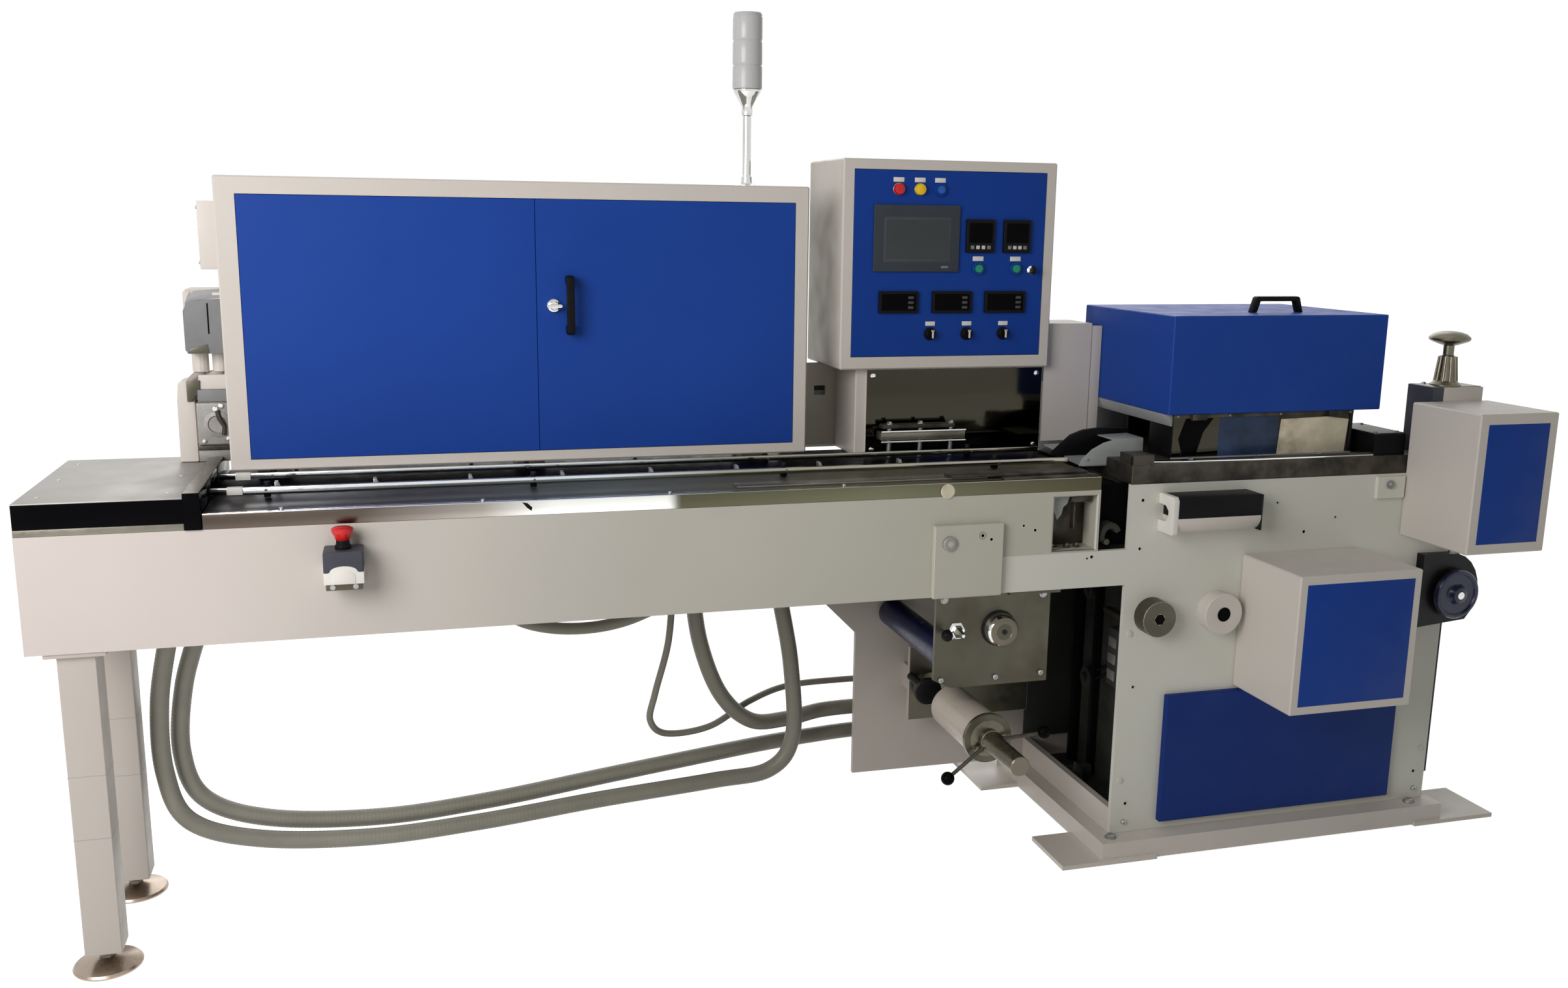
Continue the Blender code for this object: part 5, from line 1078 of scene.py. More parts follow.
def profile_box():
    """The extruded guard along the front plate: black top, white curved lip and a C-shaped end cap."""
    (x0, y0, z0), (x1, y1, z1) = in_machine(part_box("profile_box"))
    depth, tall = y1 - y0, z1 - z0
    profile = Piece("profile_guard", slot="cream")
    cut = z0 + tall * 0.42
    profile.prism("X", [(y0 + 0.002, cut), (y1, cut), (y1, z1 - 0.001), (y0 + 0.004, z1 - 0.001),
        (y0, z1 - 0.008)], (x0 + 0.012, x1 - 0.004), "black", 0.0012)
    lip = [(y1, z0 + 0.001), (y0 + depth * 0.55, z0 + 0.001)]
    for k in range(9):
        a = math.pi / 2 * k / 8
        lip.append((y0 + depth * 0.5 * (1 - math.sin(a)), z0 + 0.001 + (cut - z0) * 0.92
            * (1 - math.cos(a))))
    lip += [(y0, cut + 0.001), (y1, cut + 0.001)]
    profile.prism("X", lip, (x0 + 0.012, x1 - 0.004), "cream_clean", 0.0008)
    cap = [(y0, z0 + 0.004), (y0 + 0.004, z0), (y1, z0), (y1, z0 + tall * 0.3),
        (y0 + depth * 0.55, z0 + tall * 0.3), (y0 + depth * 0.36, z0 + tall * 0.42),
        (y0 + depth * 0.36, z0 + tall * 0.6), (y0 + depth * 0.55, z0 + tall * 0.72), (y1, z0 + tall * 0.72),
        (y1, z1), (y0 + 0.006, z1), (y0, z1 - 0.008)]
    profile.prism("X", cap, (x0, x0 + 0.0125), "white", 0.0014)
    profile.box((x1 - 0.0045, x1), (y0 + 0.001, y1), (z0 + 0.002, z1 - 0.002), "black_metal", 0.0012)
    profile.done("profile_box")


def dark_interior():
    """The unlit drive space left of the head: dark panels painted as shade over the wall, the rear plate and
    the floor, and guards, belts and pulleys seen past the unwind plate.
    """
    inner = Piece("drive_space")
    # dark panels painted as shade over the front plate's wall, the rear plate's face and the floor
    inner.box((2.29, 2.2996), (0.014, 0.45), (0.05, 0.8), "shade", 0.001)
    inner.box((2.164, 2.2996), (0.448, 0.454), (0.11, 0.848), "shade", 0.001)
    inner.box((2.186, 2.2996), (0.028, 0.448), (0.05, 0.056), "shade", 0.001)
    # uprights, a belt on pulleys, a hanging cable bundle and a valve block, mostly in dark finishes as
    # painted shade
    for y, wide in ((0.06, 0.018), (0.13, 0.01), (0.3, 0.012), (0.39, 0.02)):
        inner.box((2.27, 2.2905), (y, y + wide), (0.056, 0.63), "black", 0.001)
    inner.box((2.254, 2.29), (0.165, 0.21), (0.33, 0.47), "shade", 0.003)
    for k in range(3):
        inner.box((2.251, 2.256), (0.17, 0.205), (0.345 + 0.04 * k, 0.37 + 0.04 * k), "alu", 0.003)
    inner.box((2.25, 2.27), (0.08, 0.235), (0.5, 0.512), "rough_iron", 0.0015)
    for y, z, r in ((0.105, 0.43, 0.034), (0.335, 0.3, 0.026), (0.345, 0.52, 0.02)):
        inner.turn("X", (2.29, y, z), [(r, 0), (r, -0.003), (r * 0.86, -0.005), (r * 0.86, -0.017),
            (r, -0.019), (r, -0.022), (r * 0.4, -0.0225), (r * 0.4, -0.03), (0, -0.0302)], "shade", 40)
    for side in (1, -1):
        inner.tube([(2.279, 0.105 + 0.029 * side, 0.43 - 0.012 * side), (2.279, 0.335 + 0.022 * side, 0.3)],
            0.0035, "black", 8)
    for k in range(4):
        inner.tube([(2.24 + 0.008 * k, 0.06 + 0.01 * k, 0.63), (2.236 + 0.008 * k, 0.066 + 0.012 * k, 0.47),
            (2.244 + 0.007 * k, 0.08 + 0.01 * k, 0.33), (2.262 + 0.004 * k, 0.11 + 0.008 * k, 0.16)], 0.0038,
            "wire", 8)
    inner.prism("Y", [(2.196, 0.056), (2.23, 0.056), (2.222, 0.1), (2.206, 0.118)], (0.24, 0.252), "shade",
        0.001)
    inner.box((2.2, 2.27), (0.28, 0.3), (0.056, 0.09), "shade", 0.002)
    # dark sheets painted as shadow in the gap between the beam's end and the front plate
    inner.box((2.097, 2.2), (0.04, 0.044), (0.7135, 0.852), "hole", 0.0006)
    inner.box((2.1, 2.164), (0.044, 0.39), (0.714, 0.718), "black_metal", 0.0006)
    inner.done()

    guard = Piece("gap_guard")
    curve = arc(2.128, 0.742, 0.026, 0.03, 200, -22, 9) + arc(2.128, 0.74, 0.015, 0.019, 24, 22, 9)
    guard.prism("Y", curve, (0.006, 0.036), "shade", 0.001)
    guard.rod("Y", (2.118, 0.004, 0.73), 0.0065, 0.034, "rough_iron", 20)
    guard.done()

    cover = Piece("reel_bracket_skin")
    cover.box((1.816, 2.129), (0.3712, 0.372), (0.216, 0.399), "brown_steel", 0.0003)
    cover.done()

    rear = Piece("film_guide_rear")
    rear.box((1.746, 1.825), (0.43, 0.4535), (0.51, 0.628), "black_metal", 0.003)
    rear.box((1.748, 1.86), (0.3, 0.43), (0.604, 0.624), "black", 0.004)
    for k in range(3):
        rear.rod("Y", (1.765 + 0.026 * k, 0.12, 0.614), 0.008, 0.31, "black_metal", 24)
    rear.turn("Y", (1.819, 0.254, 0.327), [(0.01, 0), (0.031, 0.0008), (0.033, 0.003), (0.033, 0.009),
        (0.031, 0.0112), (0.01, 0.012)], "black_metal", 48)
    rear.rod("Y", (1.819, 0.255, 0.327), 0.01, 0.116, "dark_steel", 24)
    rear.done()


def knob():
    """The height adjuster: its post and its round knob."""
    low, high = in_machine(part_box("knob_base"))
    base = Piece("height_post", slot="dark_steel")
    shelf, cx, cy = high.z - 0.0675, 2.983, 0.036
    base.box((low.x + 0.0005, low.x + 0.03), (low.y, high.y), (low.z, shelf), "grey_dark", 0.0022)
    base.box((low.x + 0.03, high.x), (low.y, high.y), (low.z, shelf - 0.001), "cream_clean", 0.0022)
    base.box((low.x + 0.004, high.x - 0.004), (low.y + 0.004, high.y - 0.004),
        (shelf - 0.001, shelf + 0.0006), "satin", 0.0005)
    base.turn("Z", (cx, cy, shelf), [(0.0335, 0), (0.0335, 0.003), (0.0235, 0.012), (0.0215, 0.024),
        (0.0192, 0.05), (0.018, high.z - shelf)], "old_steel", 40)
    for k in range(10):
        a = math.radians(36 * k)
        base.between((cx + 0.0238 * math.cos(a), cy + 0.0238 * math.sin(a), shelf + 0.01),
            (cx + 0.018 * math.cos(a), cy + 0.018 * math.sin(a), high.z - 0.001), 0.0026, "old_steel", 10)
    for dx in (-0.03, 0.03):
        base.hex_bolt("Z", (cx + dx, cy + 0.034, shelf), 0.0048, "zinc", 1)
    base.done("knob_base")
    low, high = in_machine(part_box("height_knob"))
    dial = Piece("height_dial", "height_knob_body", slot="dark_steel")
    cx, cy, z = (low.x + high.x) / 2, (low.y + high.y) / 2, low.z
    dial.turn("Z", (cx, cy, z), [(0.0128, 0), (0.013, 0.002), (0.0118, 0.0035), (0.0118, 0.024),
        (0.02, 0.0262), (0.04, 0.034), (0.044, 0.0375), (0.0449, 0.041), (0.044, 0.0438), (0.036, 0.0508),
        (0.024, 0.0548), (0.012, 0.0566), (0, 0.0569)], "old_steel", 56)
    for k in range(12):
        a = math.radians(30 * k)
        dial.between((cx + 0.0425 * math.cos(a), cy + 0.0425 * math.sin(a), z + 0.0372),
            (cx + 0.0425 * math.cos(a), cy + 0.0425 * math.sin(a), z + 0.044), 0.002, "rough_iron", 8)
    dial.done("height_knob")


def sealing_head():
    """The sealing head's panes, the outfeed table, the jaws, the hood and the film former."""
    coat("rough_iron", "sealing_frame", "sealing_deck")
    coat("black_metal", "end_guard")
    coat("blue", "hood")
    panes = Piece("frame_panes")
    front = 0.0556
    # polished panes, the card plate and the strips screwed over them
    panes.box((2.292, 2.408), (front - 0.0016, front), (0.899, 0.988), "mirror", 0.0006)
    panes.prism("Y", [(2.318, 0.904), (2.352, 0.904), (2.368, 0.956), (2.392, 0.987), (2.322, 0.987),
        (2.306, 0.942)], (front - 0.0022, front - 0.001), "black_gloss", 0.0006)
    panes.box((2.408, 2.56), (front - 0.002, front), (0.899, 0.988), "pane_blue", 0.0006)
    panes.prism("Y", [(2.56, 0.901), (2.738, 0.901), (2.744, 0.976), (2.69, 0.983), (2.566, 0.98)],
        (front - 0.0026, front - 0.0002), "card", 0.0008)
    panes.box((2.29, 2.754), (front - 0.005, front), (0.988, 0.9966), "rough_iron", 0.0012)
    panes.box((2.29, 2.754), (front - 0.006, front), (0.8978, 0.901), "duct", 0.001)
    panes.box((2.746, 2.754), (front - 0.004, front), (0.9, 0.993), "black_metal", 0.001)
    for x in (2.3, 2.43, 2.56, 2.744):
        panes.screw("Y", (x, front - 0.0046, 0.9925), 0.0028, "satin")
    # the pale folded flange and the dark outlet on the frame's left side
    panes.prism("Y", [(2.289, 0.97), (2.2918, 0.97), (2.2918, 0.9968), (2.273, 0.9968), (2.274, 0.992)],
        (0.058, 0.426), "duct", 0.0008)
    panes.box((2.2895, 2.2916), (0.058, 0.148), (0.9, 0.97), "black", 0.0006)
    panes.box((2.2895, 2.2916), (0.257, 0.426), (0.9, 0.97), "black", 0.0006)
    panes.done()

    table = Piece("outfeed_table")
    table.box((2.7845, 2.8655), (0.0105, 0.1645), (0.9452, 0.9475), "rough_iron", 0.0008)
    for k in range(4):
        table.screw("Z", (2.796 if k % 2 else 2.854, 0.024 + 0.12 * (k // 2), 0.9474), 0.0035, "satin", 1)
    table.box((2.783, 2.867), (0.0088, 0.0105), (0.856, 0.944), "black", 0.0008)
    table.box((2.7825, 2.7845), (0.0105, 0.165), (0.899, 0.944), "black", 0.0008)
    table.box((2.168, 2.216), (0.004, 0.014), (0.8556, 0.914), "black_metal", 0.0012)
    table.prism("Z", [(2.226, 0.018), (2.286, 0.01), (2.47, 0.004), (2.78, 0.004), (2.78, 0.02),
        (2.24, 0.03)], (0.8974, 0.901), "bright", 0.0008)
    table.box((2.47, 2.78), (0.006, 0.02), (0.901, 0.904), "rough_iron", 0.0008)
    for x in (2.33, 2.5, 2.66):
        table.hex_bolt("Z", (x, 0.036, 0.8974), 0.0055, "zinc", 1)
    table.done()

    jaws()
    hood_details()
    film_former()


def jaws():
    """The crossed sealing jaws: a shaft with end discs, carrier arms and a serrated bar."""
    for name, body, z, sign in (("lower_jaw", "lower_jaw_body", 0.938, -1),
            ("upper_jaw", "upper_jaw_body", 1.012, 1)):
        low, high = in_machine(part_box(name))
        x, y0, y1 = 2.56, low.y, high.y
        reach = 0.034
        piece = Piece(name + "_rotor", body, slot="steel")
        piece.turn("Y", (x, y0, z), [(0.011, 0.0002), (0.0112, y1 - y0 - 0.0004)], "steel", 32)
        for y in (0.1125, 0.339):
            piece.turn("Y", (x, y, z), [(0.015, 0), (0.03, 0.0008), (0.0305, 0.002), (0.0305, 0.009),
                (0.0298, 0.0102), (0.015, 0.0105)], "steel", 48)
        for flip in (1, -1):
            ends = sorted((z + flip * 0.01, z + flip * (reach - 0.0024)))
            piece.box(about(x, 0.0075), (0.1225, 0.3395), ends, "satin", 0.001)
        for k in range(9):
            dx = -0.0064 + 0.0016 * k
            zt = z - sign * (reach - 0.0022)
            piece.box((x + dx - 0.0005, x + dx + 0.0005), (0.124, 0.338), about(zt, 0.0012), "bright", 0)
        for y in (0.15, 0.231, 0.312):
            for out in (-1, 1):
                piece.screw("X", (x + out * 0.0075, y, z + sign * 0.018), 0.0036, "zinc", out)
        piece.done(name)


def hood_details():
    """The hood's hinge pins and handle."""
    body = "hood_body"
    trim = Piece("hood_trim", body)
    # pins of the rear hinges
    for x in (2.33, 2.76):
        trim.rod("X", (x - 0.03, 0.4405, 0.9995), 0.003, 0.06, "zinc", 20)
    trim.done()

    low, high = in_machine(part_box("hood_handle"))
    grip = Piece("hood_grip", body, slot="black")
    x, foot, tall = (low.x + high.x) / 2, low.z, high.z - low.z
    half = (high.x - low.x) / 2
    outer = [(0, 0), (0.01, tall - 0.003), (0.014, tall)]
    inner = [(0.013, 0), (0.021, tall - 0.011)]
    outline = [(x - half + u, foot + v) for u, v in outer] + [(x + half - u, foot + v) for u,
        v in reversed(outer)]
    outline += [(x + half - u, foot + v) for u, v in inner] + [(x - half + u, foot + v) for u,
        v in reversed(inner)]
    grip.prism("Y", outline, (low.y, high.y), "black", 0.0022)
    for dx in (-half + 0.0065, half - 0.0065):
        grip.box((x + dx - 0.0062, x + dx + 0.0062), (low.y + 0.0005, high.y - 0.0005), (foot, foot + 0.003),
            "black", 0.001)
    grip.done("hood_handle")


def film_former():
    """The film former, its arm, and the cream flank beside it."""
    low, high = in_machine(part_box("film_former"))
    back, deep = (high - low).xy
    former = Piece("former_wing", slot="film", at=low)
    wing = [(0, 0), (0.006, 0.014), (0.03, 0.036), (0.058, 0.05), (0.082, 0.056), (back - 0.012, 0.058),
        (back - 0.012, 0.022), (0.112, 0.015), (0.122, 0.006), (0.07, 0.001)]
    former.prism("Y", wing, (0.004, 0.0075), "former", 0.0012)
    roof = [(0.082, 0.0545), (0.082, 0.057), (back - 0.012, 0.059), (back - 0.012, 0.0565)]
    former.prism("Y", roof, (0.007, deep * 0.42), "former", 0.0008)
    lip = [(0, 0), (deep * 0.3, 0.005), (deep * 0.62, 0.016), (deep, 0.02), (deep, 0.017),
        (deep * 0.62, 0.013), (deep * 0.3, 0.002)]
    former.prism("X", lip, (0.004, back - 0.006), "former", 0)
    former.done("film_former")

    trim = Piece("former_edges", at=low)
    for along in (0.018, 0.13):
        trim.screw("Y", (along, 0.0038, 0.012 + 0.1 * along), 0.0034, "zinc")
    arm = [(-0.026, 0.016), (0.02, 0.056), (0.05, 0.067), (0.088, 0.071), (back - 0.004, 0.069),
        (back - 0.004, 0.01), (0.02, 0.003), (-0.01, 0.003)]
    trim.prism("Y", arm, (deep * 0.44, deep * 0.52), "black", 0.002)
    trim.done()

    # the cream side of the column goes on to the hood
    column_end = in_machine(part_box("control_column"))[1].x
    hood_start = in_machine(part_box("hood"))[0].x
    flank = Piece("column_flank")
    flank.box((column_end + 0.0004, hood_start - 0.003), (0.352, 0.362), (low.z + 0.02, low.z + 0.29),
        "cream", 0.001)
    flank.done()


# ---------------------------------------------------------------- drive covers and handwheel
def covers():
    """The two drive covers' fronts and vents, and the handwheel."""
    coat("cream", "upper_motor_cover", "lower_motor_cover")
    # the service cover's blue is a much darker copy as painted shade
    coat("blue_dark_painted_shade", "service_cover")
    fronts = Piece("cover_fronts")
    for name, x0, x1, z0, z1 in (("upper", 2.868, 3.074, 0.71, 1.0185),
            ("lower", 2.457, 2.763, 0.379, 0.686)):
        y = -0.209
        rim = 0.0225 if name == "upper" else 0.0185
        # the blue fronts are in a darker copy of the blue as painted shade
        fronts.box((x0 + rim, x1 - rim), (y - 0.0001, y + 0.0008), (z0 + rim, z1 - rim), "blue_mild_painted_shade", 0.0002)
        # louvred vent on the side that faces away
        for k in range(9):
            zz = z0 + 0.06 + 0.0165 * k
            fronts.prism("Y", [(x1 + 0.0002, zz), (x1 + 0.0032, zz - 0.004), (x1 + 0.0032, zz - 0.0026),
                (x1 + 0.0002, zz + 0.0052)], (y + 0.05, y + 0.15), "cream", 0)
    fronts.done()

    low, high = in_machine(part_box("handwheel"))
    x, z = 3.01, 0.57
    y0, y1 = low.y, high.y
    r = (high.z - low.z) / 2
    wheel = Piece("handwheel_disc", "handwheel_body", slot="blue")
    deep = y1 - y0
    wheel.turn("Y", (x, y1 - 0.0003, z), [(r * 0.3, 0), (r * 0.3, -deep * 0.4)], "satin", 40)
    wheel.turn("Y", (x, y1, z), [(r * 0.955, -deep * 0.3), (r * 0.985, -deep * 0.36),
        (r * 0.995, -deep * 0.48), (r * 0.985, -deep * 0.62), (r * 0.95, -deep * 0.7),
        (r * 0.88, -deep * 0.73), (r * 0.84, -deep * 0.68), (r * 0.8, -deep * 0.56),
        (r * 0.42, -deep * 0.56), (r * 0.36, -deep * 0.66), (r * 0.3, -deep * 0.92),
        (r * 0.24, -deep * 0.985), (0, -deep * 0.99)], "wheel", 64)
    wheel.turn("Y", (x, y1, z), [(r * 0.15, -deep * 0.985), (r * 0.14, -deep * 0.998), (0, -deep)], "chrome",
        24)
    wheel.sleeve("Y", (x, y1 - deep * 0.4, z), r * 0.96, r * 0.996, -deep * 0.1, "chrome", 64, 0.0008)
    wheel.done("handwheel")


# ---------------------------------------------------------------- film unwind
def unwind():
    """The film unwind: roll, shaft and rollers."""
    coat("brown_steel", "unwind_plate")
    x0, x1, z0, z1, y = 1.752, 2.022, 0.404, 0.6317, 0.0658
    low_bolt, high_bolt = z0 + 0.02, z1 - 0.026
    trim = Piece("unwind_hardware")
    for x, z in ((x0 + 0.016, low_bolt), (x1 - 0.016, low_bolt), ((x0 + x1) / 2 + 0.01, z0 + 0.018)):
        trim.screw("Y", (x, y, z), 0.006, "zinc")
    for x in (x1 - 0.018, x0 + 0.018):
        trim.hex_bolt("Y", (x, y, high_bolt), 0.0062, "zinc")
    # polished roller cap, guide nut, cone and knob of the film path
    roller = (1.9, 0, 0.534)
    trim.turn("Y", roller, [(0.0362, 0.0656), (0.0362, 0.04), (0.0352, 0.0382), (0.0313, 0.0337),
        (0.03, 0.0334)], "chrome", 64)
    trim.turn("Y", roller, [(0.0314, 0.0336), (0.03, 0.0328), (0.018, 0.0322), (0.0172, 0.033), (0, 0.033)],
        "old_steel", 64)
    trim.turn("Y", roller, [(0.0064, 0.0331), (0.006, 0.03), (0, 0.0298)], "dark_steel", 6)
    trim.turn("Y", (1.8, y, 0.534), [(0.0205, 0), (0.0205, -0.003), (0.015, -0.005), (0.015, -0.012),
        (0.012, -0.014), (0.004, -0.042), (0, -0.0425)], "chrome", 6)
    trim.rod("Y", (1.766, y, 0.535), 0.0055, -0.022, "satin", 20)
    trim.turn("Y", (1.766, y - 0.032, 0.535), ball(0.013, 14), "black", 32)
    trim.sleeve("Y", (1.9, y, 0.534), 0.0364, 0.04, -0.002, "black_metal", 48, 0.0006)
    trim.done()

    reel = Piece("film_reel", "reel_body", slot="film")
    low, high = in_machine(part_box("film_roll"))
    cx, cz, y0, y1 = 1.858, 0.305, low.y, high.y
    r = (high.z - low.z) / 2
    wide = 0.62 * (y1 - y0)
    core = 0.0185
    reel.sleeve("Y", (cx, y0, cz), core, r * 0.52, wide, "card", 56, 0.001)
    profile = [(r * 0.53, 0.0012), (r * 0.94, 0.0004), (r * 0.985, 0.0022)]
    for k in range(25):
        share = k / 24
        profile.append((r * (0.999 - 0.02 * share - 0.004 * math.sin(31 * share) ** 2),
            0.004 + share * (wide - 0.007)))
    profile += [(r * 0.94, wide - 0.0006), (r * 0.53, wide - 0.0012)]
    reel.turn("Y", (cx, y0, cz), profile, "film", 72)
    reel.done("film_roll")

    shaft = Piece("bobbin_spindle", "reel_body", slot="steel")
    shaft.turn("Y", (cx, 0, cz), [(0.0196, -0.16), (0.0212, -0.1585), (0.0212, -0.031), (0.024, -0.0262),
        (0.0246, -0.0225), (0.0228, -0.0212), (0.0228, -0.017), (0.0246, -0.0157), (0.0246, 0.0),
        (0.052, 0.004), (0.0548, 0.0055), (0.0548, 0.0145), (0.052, 0.016), (0.0145, 0.0164),
        (0.0145, 0.3357), (0.0398, 0.3362), (0.0398, 0.3495), (0.0145, 0.3505), (0.0145, 0.3716)],
        "old_steel", 64)
    shaft.sleeve("Y", (cx, 0.0034, cz), 0.0395, 0.0545, -0.001, "brown_steel", 64, 0.0006)
    shaft.turn("Y", (cx, -0.16, cz), [(0.0198, 0.0006), (0.015, 0.0006), (0.0144, 0.01), (0, 0.0102)],
        "brown_steel", 40)
    for k in range(3):
        a = math.radians(90 + 120 * k)
        shaft.screw("Y", (cx + 0.037 * math.cos(a), 0.0014, cz + 0.037 * math.sin(a)), 0.0036, "satin")
    for angle in (4, 218):
        a = math.radians(angle)
        root, tip = [Vector((cx + reach * math.cos(a), -0.013, cz + reach * math.sin(a)))
            for reach in (0.016, 0.124)]
        shaft.between(root, root.lerp(tip, 0.14), 0.0066, "rough_iron", 20)
        shaft.between(root, tip, 0.0043, "rough_iron", 20)
        shaft.take(turned_mesh(ball(0.0148, 16), 32), "black_gloss", upright(tip, tip - root))
    shaft.done("bobbin_shaft")

    for name, body, cx2, cz2, rr in (("nip_roller_blue", "nip_blue_body", 1.792, 0.47, 0.034),
            ("nip_roller_steel", "nip_steel_body", 1.914, 0.528, 0.032)):
        low, high = in_machine(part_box(name))
        sheath = "rubber" if "blue" in name else "steel"
        roller = Piece(name + "_turned", body, slot=sheath)
        a, b = low.y, high.y
        roller.turn("Y", (cx2, a, cz2), [(0.0095, 0), (0.01, 0.0006), (0.01, b - a - 0.0006),
            (0.0095, b - a)], "steel", 28)
        start = max(a + 0.012, 0.082)
        roller.turn("Y", (cx2, start, cz2), [(0.0105, 0), (rr * 0.95, 0), (rr * 0.995, 0.0016),
            (rr * 0.995, b - start - 0.014), (rr * 0.95, b - start - 0.0125), (0.0105, b - start - 0.0125)],
            sheath, 56)
        roller.sleeve("Y", (cx2, a + 0.0006, cz2), 0.0098, 0.018, 0.008, "chrome", 32, 0.001)
        roller.done(name)


# ---------------------------------------------------------------- hoses
def spline(spots, steps):
    """A smooth line through spots: straight first and last stretches, curves between."""
    points = [Vector(spots[0])]
    for i in range(len(spots) - 1):
        a, b = Vector(spots[i]), Vector(spots[i + 1])
        before = Vector(spots[i - 1]) if i else a
        after = Vector(spots[i + 2]) if i + 2 < len(spots) else b
        straight = i == 0 or i == len(spots) - 2
        for k in range(1, steps + 1):
            t = k / steps
            if straight:
                points.append(a.lerp(b, t))
                continue
            points.append(0.5 * ((2 * a) + (b - before) * t + (2 * before - 5 * a + 4 * b - after) * t * t
                + (3 * a - before - 3 * b + after) * t ** 3))
    return points


# Each hose's knots: X as a share of the run from the leg to the rear plate, Y from the rear plate's front
# face, Z as a share of the height under the beam.
HOSE_START, HOSE_RUN, HOSE_Y, HOSE_TOP = 0.112, 1.592, 0.455, 0.6317
BACK = 0.0123
ROUTES = {
    "hose_long_front": (0.019, [
        (0.0415, -0.07, 1), (0.0415, -0.07, 0.902), (0.0214, -0.067, 0.633), (0.0214, -0.069, 0.38),
        (0.049, -0.075, 0.206), (0.137, -0.075, 0.117), (0.281, -0.075, 0.0823), (0.432, -0.075, 0.098),
        (0.596, -0.075, 0.136), (0.765, -0.075, 0.166), (0.853, -0.075, 0.19), (0.888, -0.075, 0.317),
        (0.884, -0.07, 0.602), (0.8643, -0.07, 0.886), (0.8643, -0.07, 1)]),
    "hose_long_rear": (0.019, [
        (0.0773, -0.03, 1), (0.0773, -0.03, 0.902), (0.049, -0.03, 0.665), (0.0402, -0.03, 0.427),
        (0.0653, -0.03, 0.253), (0.15, -0.03, 0.158), (0.294, -0.03, 0.1235), (0.445, -0.03, 0.146),
        (0.608, -0.03, 0.196), (0.759, -0.025, 0.2375), (0.859, 0.015, 0.2375), (0.935, 0.06, 0.2216),
        (1.01, 0.075, 0.2216), (1.054, 0.065, 0.2216), (1.0704, 0.035, 0.2216), (1.0704, BACK, 0.2216)]),
    "hose_thick": (0.019, [
        (0.74, -0.03, 1), (0.74, -0.03, 0.902), (0.7525, -0.03, 0.681), (0.784, -0.025, 0.475),
        (0.834, -0.005, 0.348), (0.897, 0.035, 0.3166), (0.96, 0.073, 0.3166), (1.029, 0.08, 0.3166),
        (1.0854, 0.07, 0.3166), (1.1043, 0.04, 0.3166), (1.1043, BACK, 0.3166)]),
    "hose_sag": (0.013, [
        (0.451, -0.205, 1), (0.451, -0.205, 0.969), (0.482, -0.205, 0.899), (0.526, -0.205, 0.863),
        (0.577, -0.205, 0.855), (0.627, -0.205, 0.874), (0.677, -0.205, 0.9245), (0.6997, -0.205, 0.969),
        (0.6997, -0.205, 1)]),
    "hose_thin": (0.008, [
        (0.706, -0.07, 1), (0.706, -0.07, 0.902), (0.6997, -0.07, 0.712), (0.681, -0.065, 0.522),
        (0.6746, -0.055, 0.412), (0.702, -0.03, 0.34), (0.771, -0.003, 0.337), (0.8405, 0.045, 0.396),
        (0.9095, 0.097, 0.415), (0.9975, 0.111, 0.415), (1.06, 0.101, 0.415), (1.0829, 0.06, 0.415),
        (1.0829, BACK, 0.415)]),
}


def spaced(points, step):
    """The same line with a point every step."""
    line, left = [points[0].copy()], step
    for a, b in zip(points, points[1:]):
        run = (b - a).length
        while run > left:
            a = a + (b - a) * (left / run)
            line.append(a.copy())
            run, left = (b - a).length, step
        left -= run
    if (line[-1] - points[-1]).length > step * 0.4:
        line.append(points[-1].copy())
    else:
        line[-1] = points[-1].copy()
    return line


def hoses():
    """The five hoses, each with a gland at both ends."""
    for name, (radius, knots) in ROUTES.items():
        spots = [(HOSE_START + share * HOSE_RUN, HOSE_Y + y, rise * HOSE_TOP) for share, y, rise in knots]
        line = spaced(spline(spots, 24), radius * 0.11)
        radii = [radius * (1.0, 0.992, 0.98, 0.992)[i % 4] for i in range(len(line))]
        radii[0] = radii[-1] = radius
        piece = Piece(name + "_conduit", slot="hose")
        # the hose finish is lighter at the infeed end as painted light
        piece.tube(line, radii, "hose", 20)
        obj = piece.done(name, sharp=60)
        glands = Piece(name + "_glands")
        ends_above = spots[-1][2] > 0.5
        for spot, axis, way in ((spots[0], "Z", -1), (spots[-1], *(("Z", -1) if ends_above else ("Y", 1)))):
            glands.sleeve(axis, spot, radius * 1.02, radius * 1.42, way * 0.01, "black", 6, 0.001)
            glands.sleeve(axis, spot, radius * 1.01, radius * 1.24, way * 0.03, "black", 40, 0.003)
        glands.done()


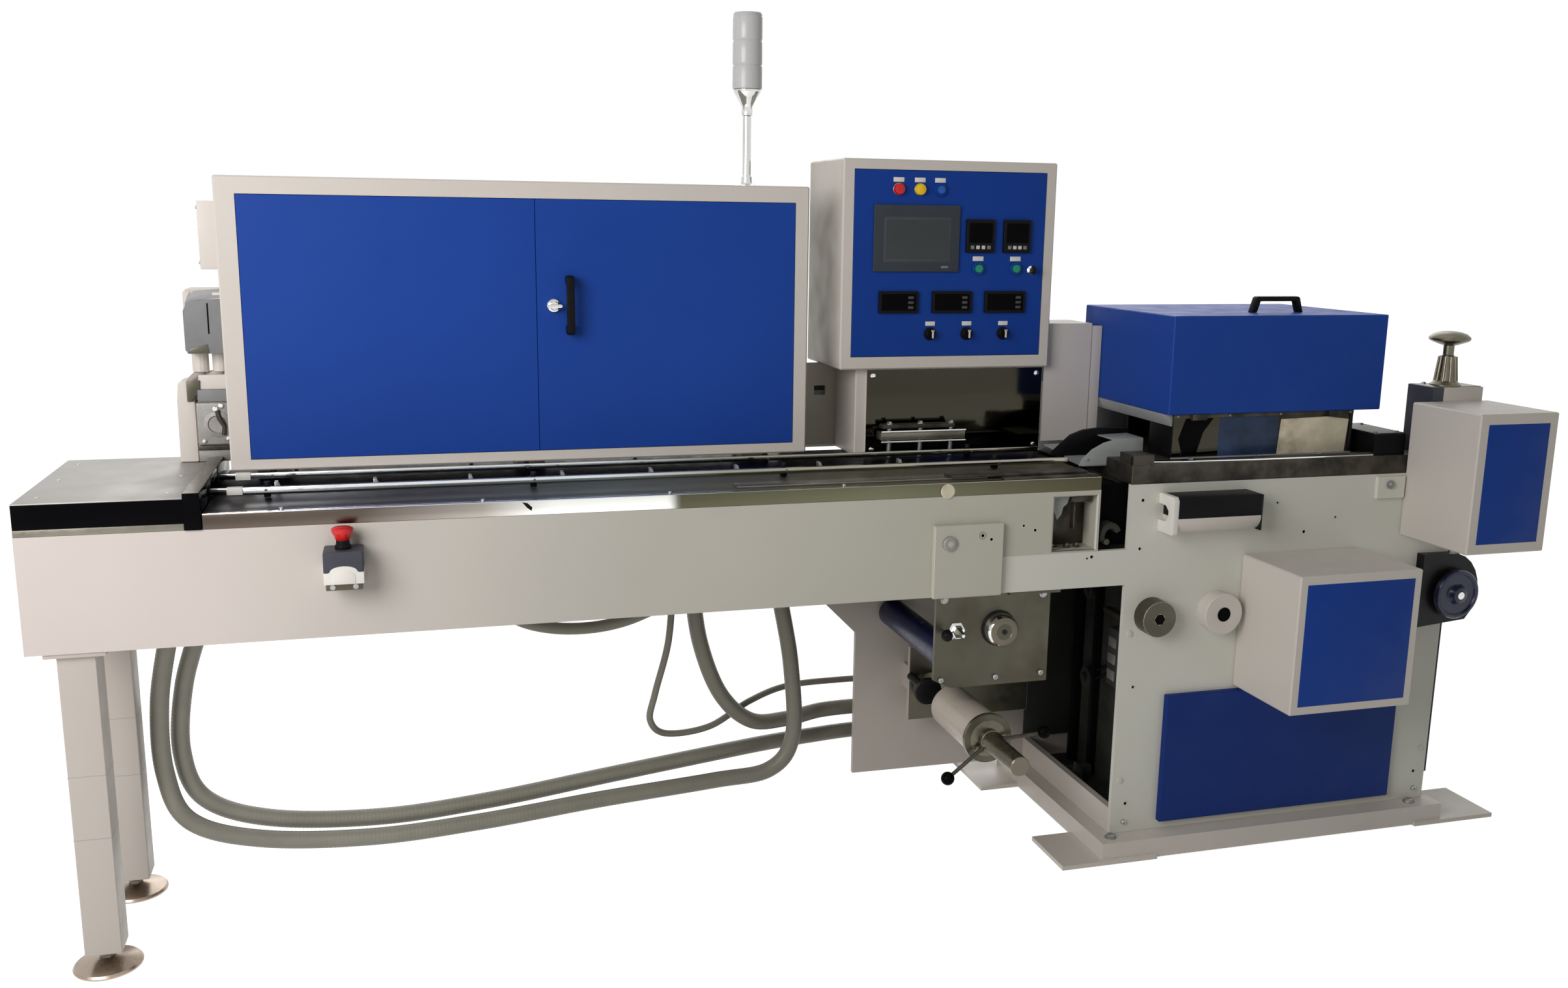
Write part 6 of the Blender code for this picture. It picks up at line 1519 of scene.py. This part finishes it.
# ---------------------------------------------------------------- floor and light
def studio():
    """The white surroundings, the floor and the lamps."""
    scene = bpy.context.scene
    scene.view_settings.view_transform = "Standard"
    world = bpy.data.worlds.new("studio")
    scene.world = world
    world.use_nodes = True
    tree = world.node_tree
    tree.nodes.clear()
    out = tree.nodes.new("ShaderNodeOutputWorld")
    lit = tree.nodes.new("ShaderNodeBackground")
    set_inputs(lit, Color=(0.99, 1.0, 0.93, 1), Strength=AMBIENT)
    seen = tree.nodes.new("ShaderNodeBackground")
    set_inputs(seen, Color=(1, 1, 1, 1), Strength=1.0)
    blend = tree.nodes.new("ShaderNodeMixShader")
    tree.links.new(seen_directly(tree), blend.inputs["Fac"])
    tree.links.new(lit.outputs["Background"], blend.inputs[1])
    tree.links.new(seen.outputs["Background"], blend.inputs[2])
    tree.links.new(blend.outputs["Shader"], out.inputs["Surface"])

    floor_mesh = bpy.data.meshes.new("floor")
    bm = bmesh.new()
    bmesh.ops.create_grid(bm, x_segments=8, y_segments=8, size=30)
    bm.to_mesh(floor_mesh)
    bm.free()
    floor = bpy.data.objects.new("studio_floor", floor_mesh)
    scene.collection.objects.link(floor)
    floor.location = (0, 0, -0.0006)
    floor_mesh.materials.append(floor_material())

    # a large soft lamp up on the left, so that the level falls off towards the outfeed as in the photograph
    data = bpy.data.lights.new("key_light", "AREA")
    data.shape, data.size, data.energy, data.color = "SQUARE", KEY_SIDE, KEY_WATTS, (1.0, 0.965, 0.985)
    key = bpy.data.objects.new("key_light", data)
    place, target = KEY_PLACE + SHIFT, KEY_AIM + SHIFT
    key.matrix_world = upright(place, place - target)
    scene.collection.objects.link(key)
    for name, strength, aim, spread, colour in (("top_light", 0.36, (-0.25, 0.1, 1.0), 60,
            (1.0, 0.99, 0.97)), ("back_light", 0.75, (0.2, 0.85, 0.5), 50, (1.0, 1.0, 1.0))):
        data = bpy.data.lights.new(name, "SUN")
        data.energy = strength
        data.angle = math.radians(spread)
        data.color = colour
        lamp_object = bpy.data.objects.new(name, data)
        lamp_object.matrix_world = upright((0, 0, 0), Vector(aim))
        scene.collection.objects.link(lamp_object)


def seen_directly(tree):
    """1 on camera, glossy and transmission rays, and 0 on the rays that light things."""
    rays = tree.nodes.new("ShaderNodeLightPath")
    total = rays.outputs["Is Camera Ray"]
    for kind in ("Is Glossy Ray", "Is Transmission Ray"):
        add = tree.nodes.new("ShaderNodeMath")
        add.operation = "MAXIMUM"
        tree.links.new(total, add.inputs[0])
        tree.links.new(rays.outputs[kind], add.inputs[1])
        total = add.outputs["Value"]
    return total


def floor_material():
    """A white floor that looks evenly lit to the camera."""
    mat = surface("studio_floor", (236, 236, 235), rough=0.9, mottle=0.01, scale=0.8, bump=0.0)
    tree = mat.node_tree
    shader = tree.nodes["Principled BSDF"]
    shader.inputs["Specular IOR Level"].default_value = 0.0
    glow = tree.nodes.new("ShaderNodeEmission")
    glow.inputs["Strength"].default_value = FLOOR_GLOW
    both = tree.nodes.new("ShaderNodeAddShader")
    pick = tree.nodes.new("ShaderNodeMixShader")
    out = tree.nodes["Material Output"]
    tree.links.new(shader.outputs["BSDF"], both.inputs[0])
    tree.links.new(glow.outputs["Emission"], both.inputs[1])
    tree.links.new(seen_directly(tree), pick.inputs["Fac"])
    tree.links.new(shader.outputs["BSDF"], pick.inputs[1])
    tree.links.new(both.outputs["Shader"], pick.inputs[2])
    tree.links.new(pick.outputs["Shader"], out.inputs["Surface"])
    return mat


look()
MATS = make_materials()
hoses()
studio()
conveyor()
legs()
cabinet()
control_panel()
column()
emergency_stop()
plates()
sealing_head()
covers()
unwind()
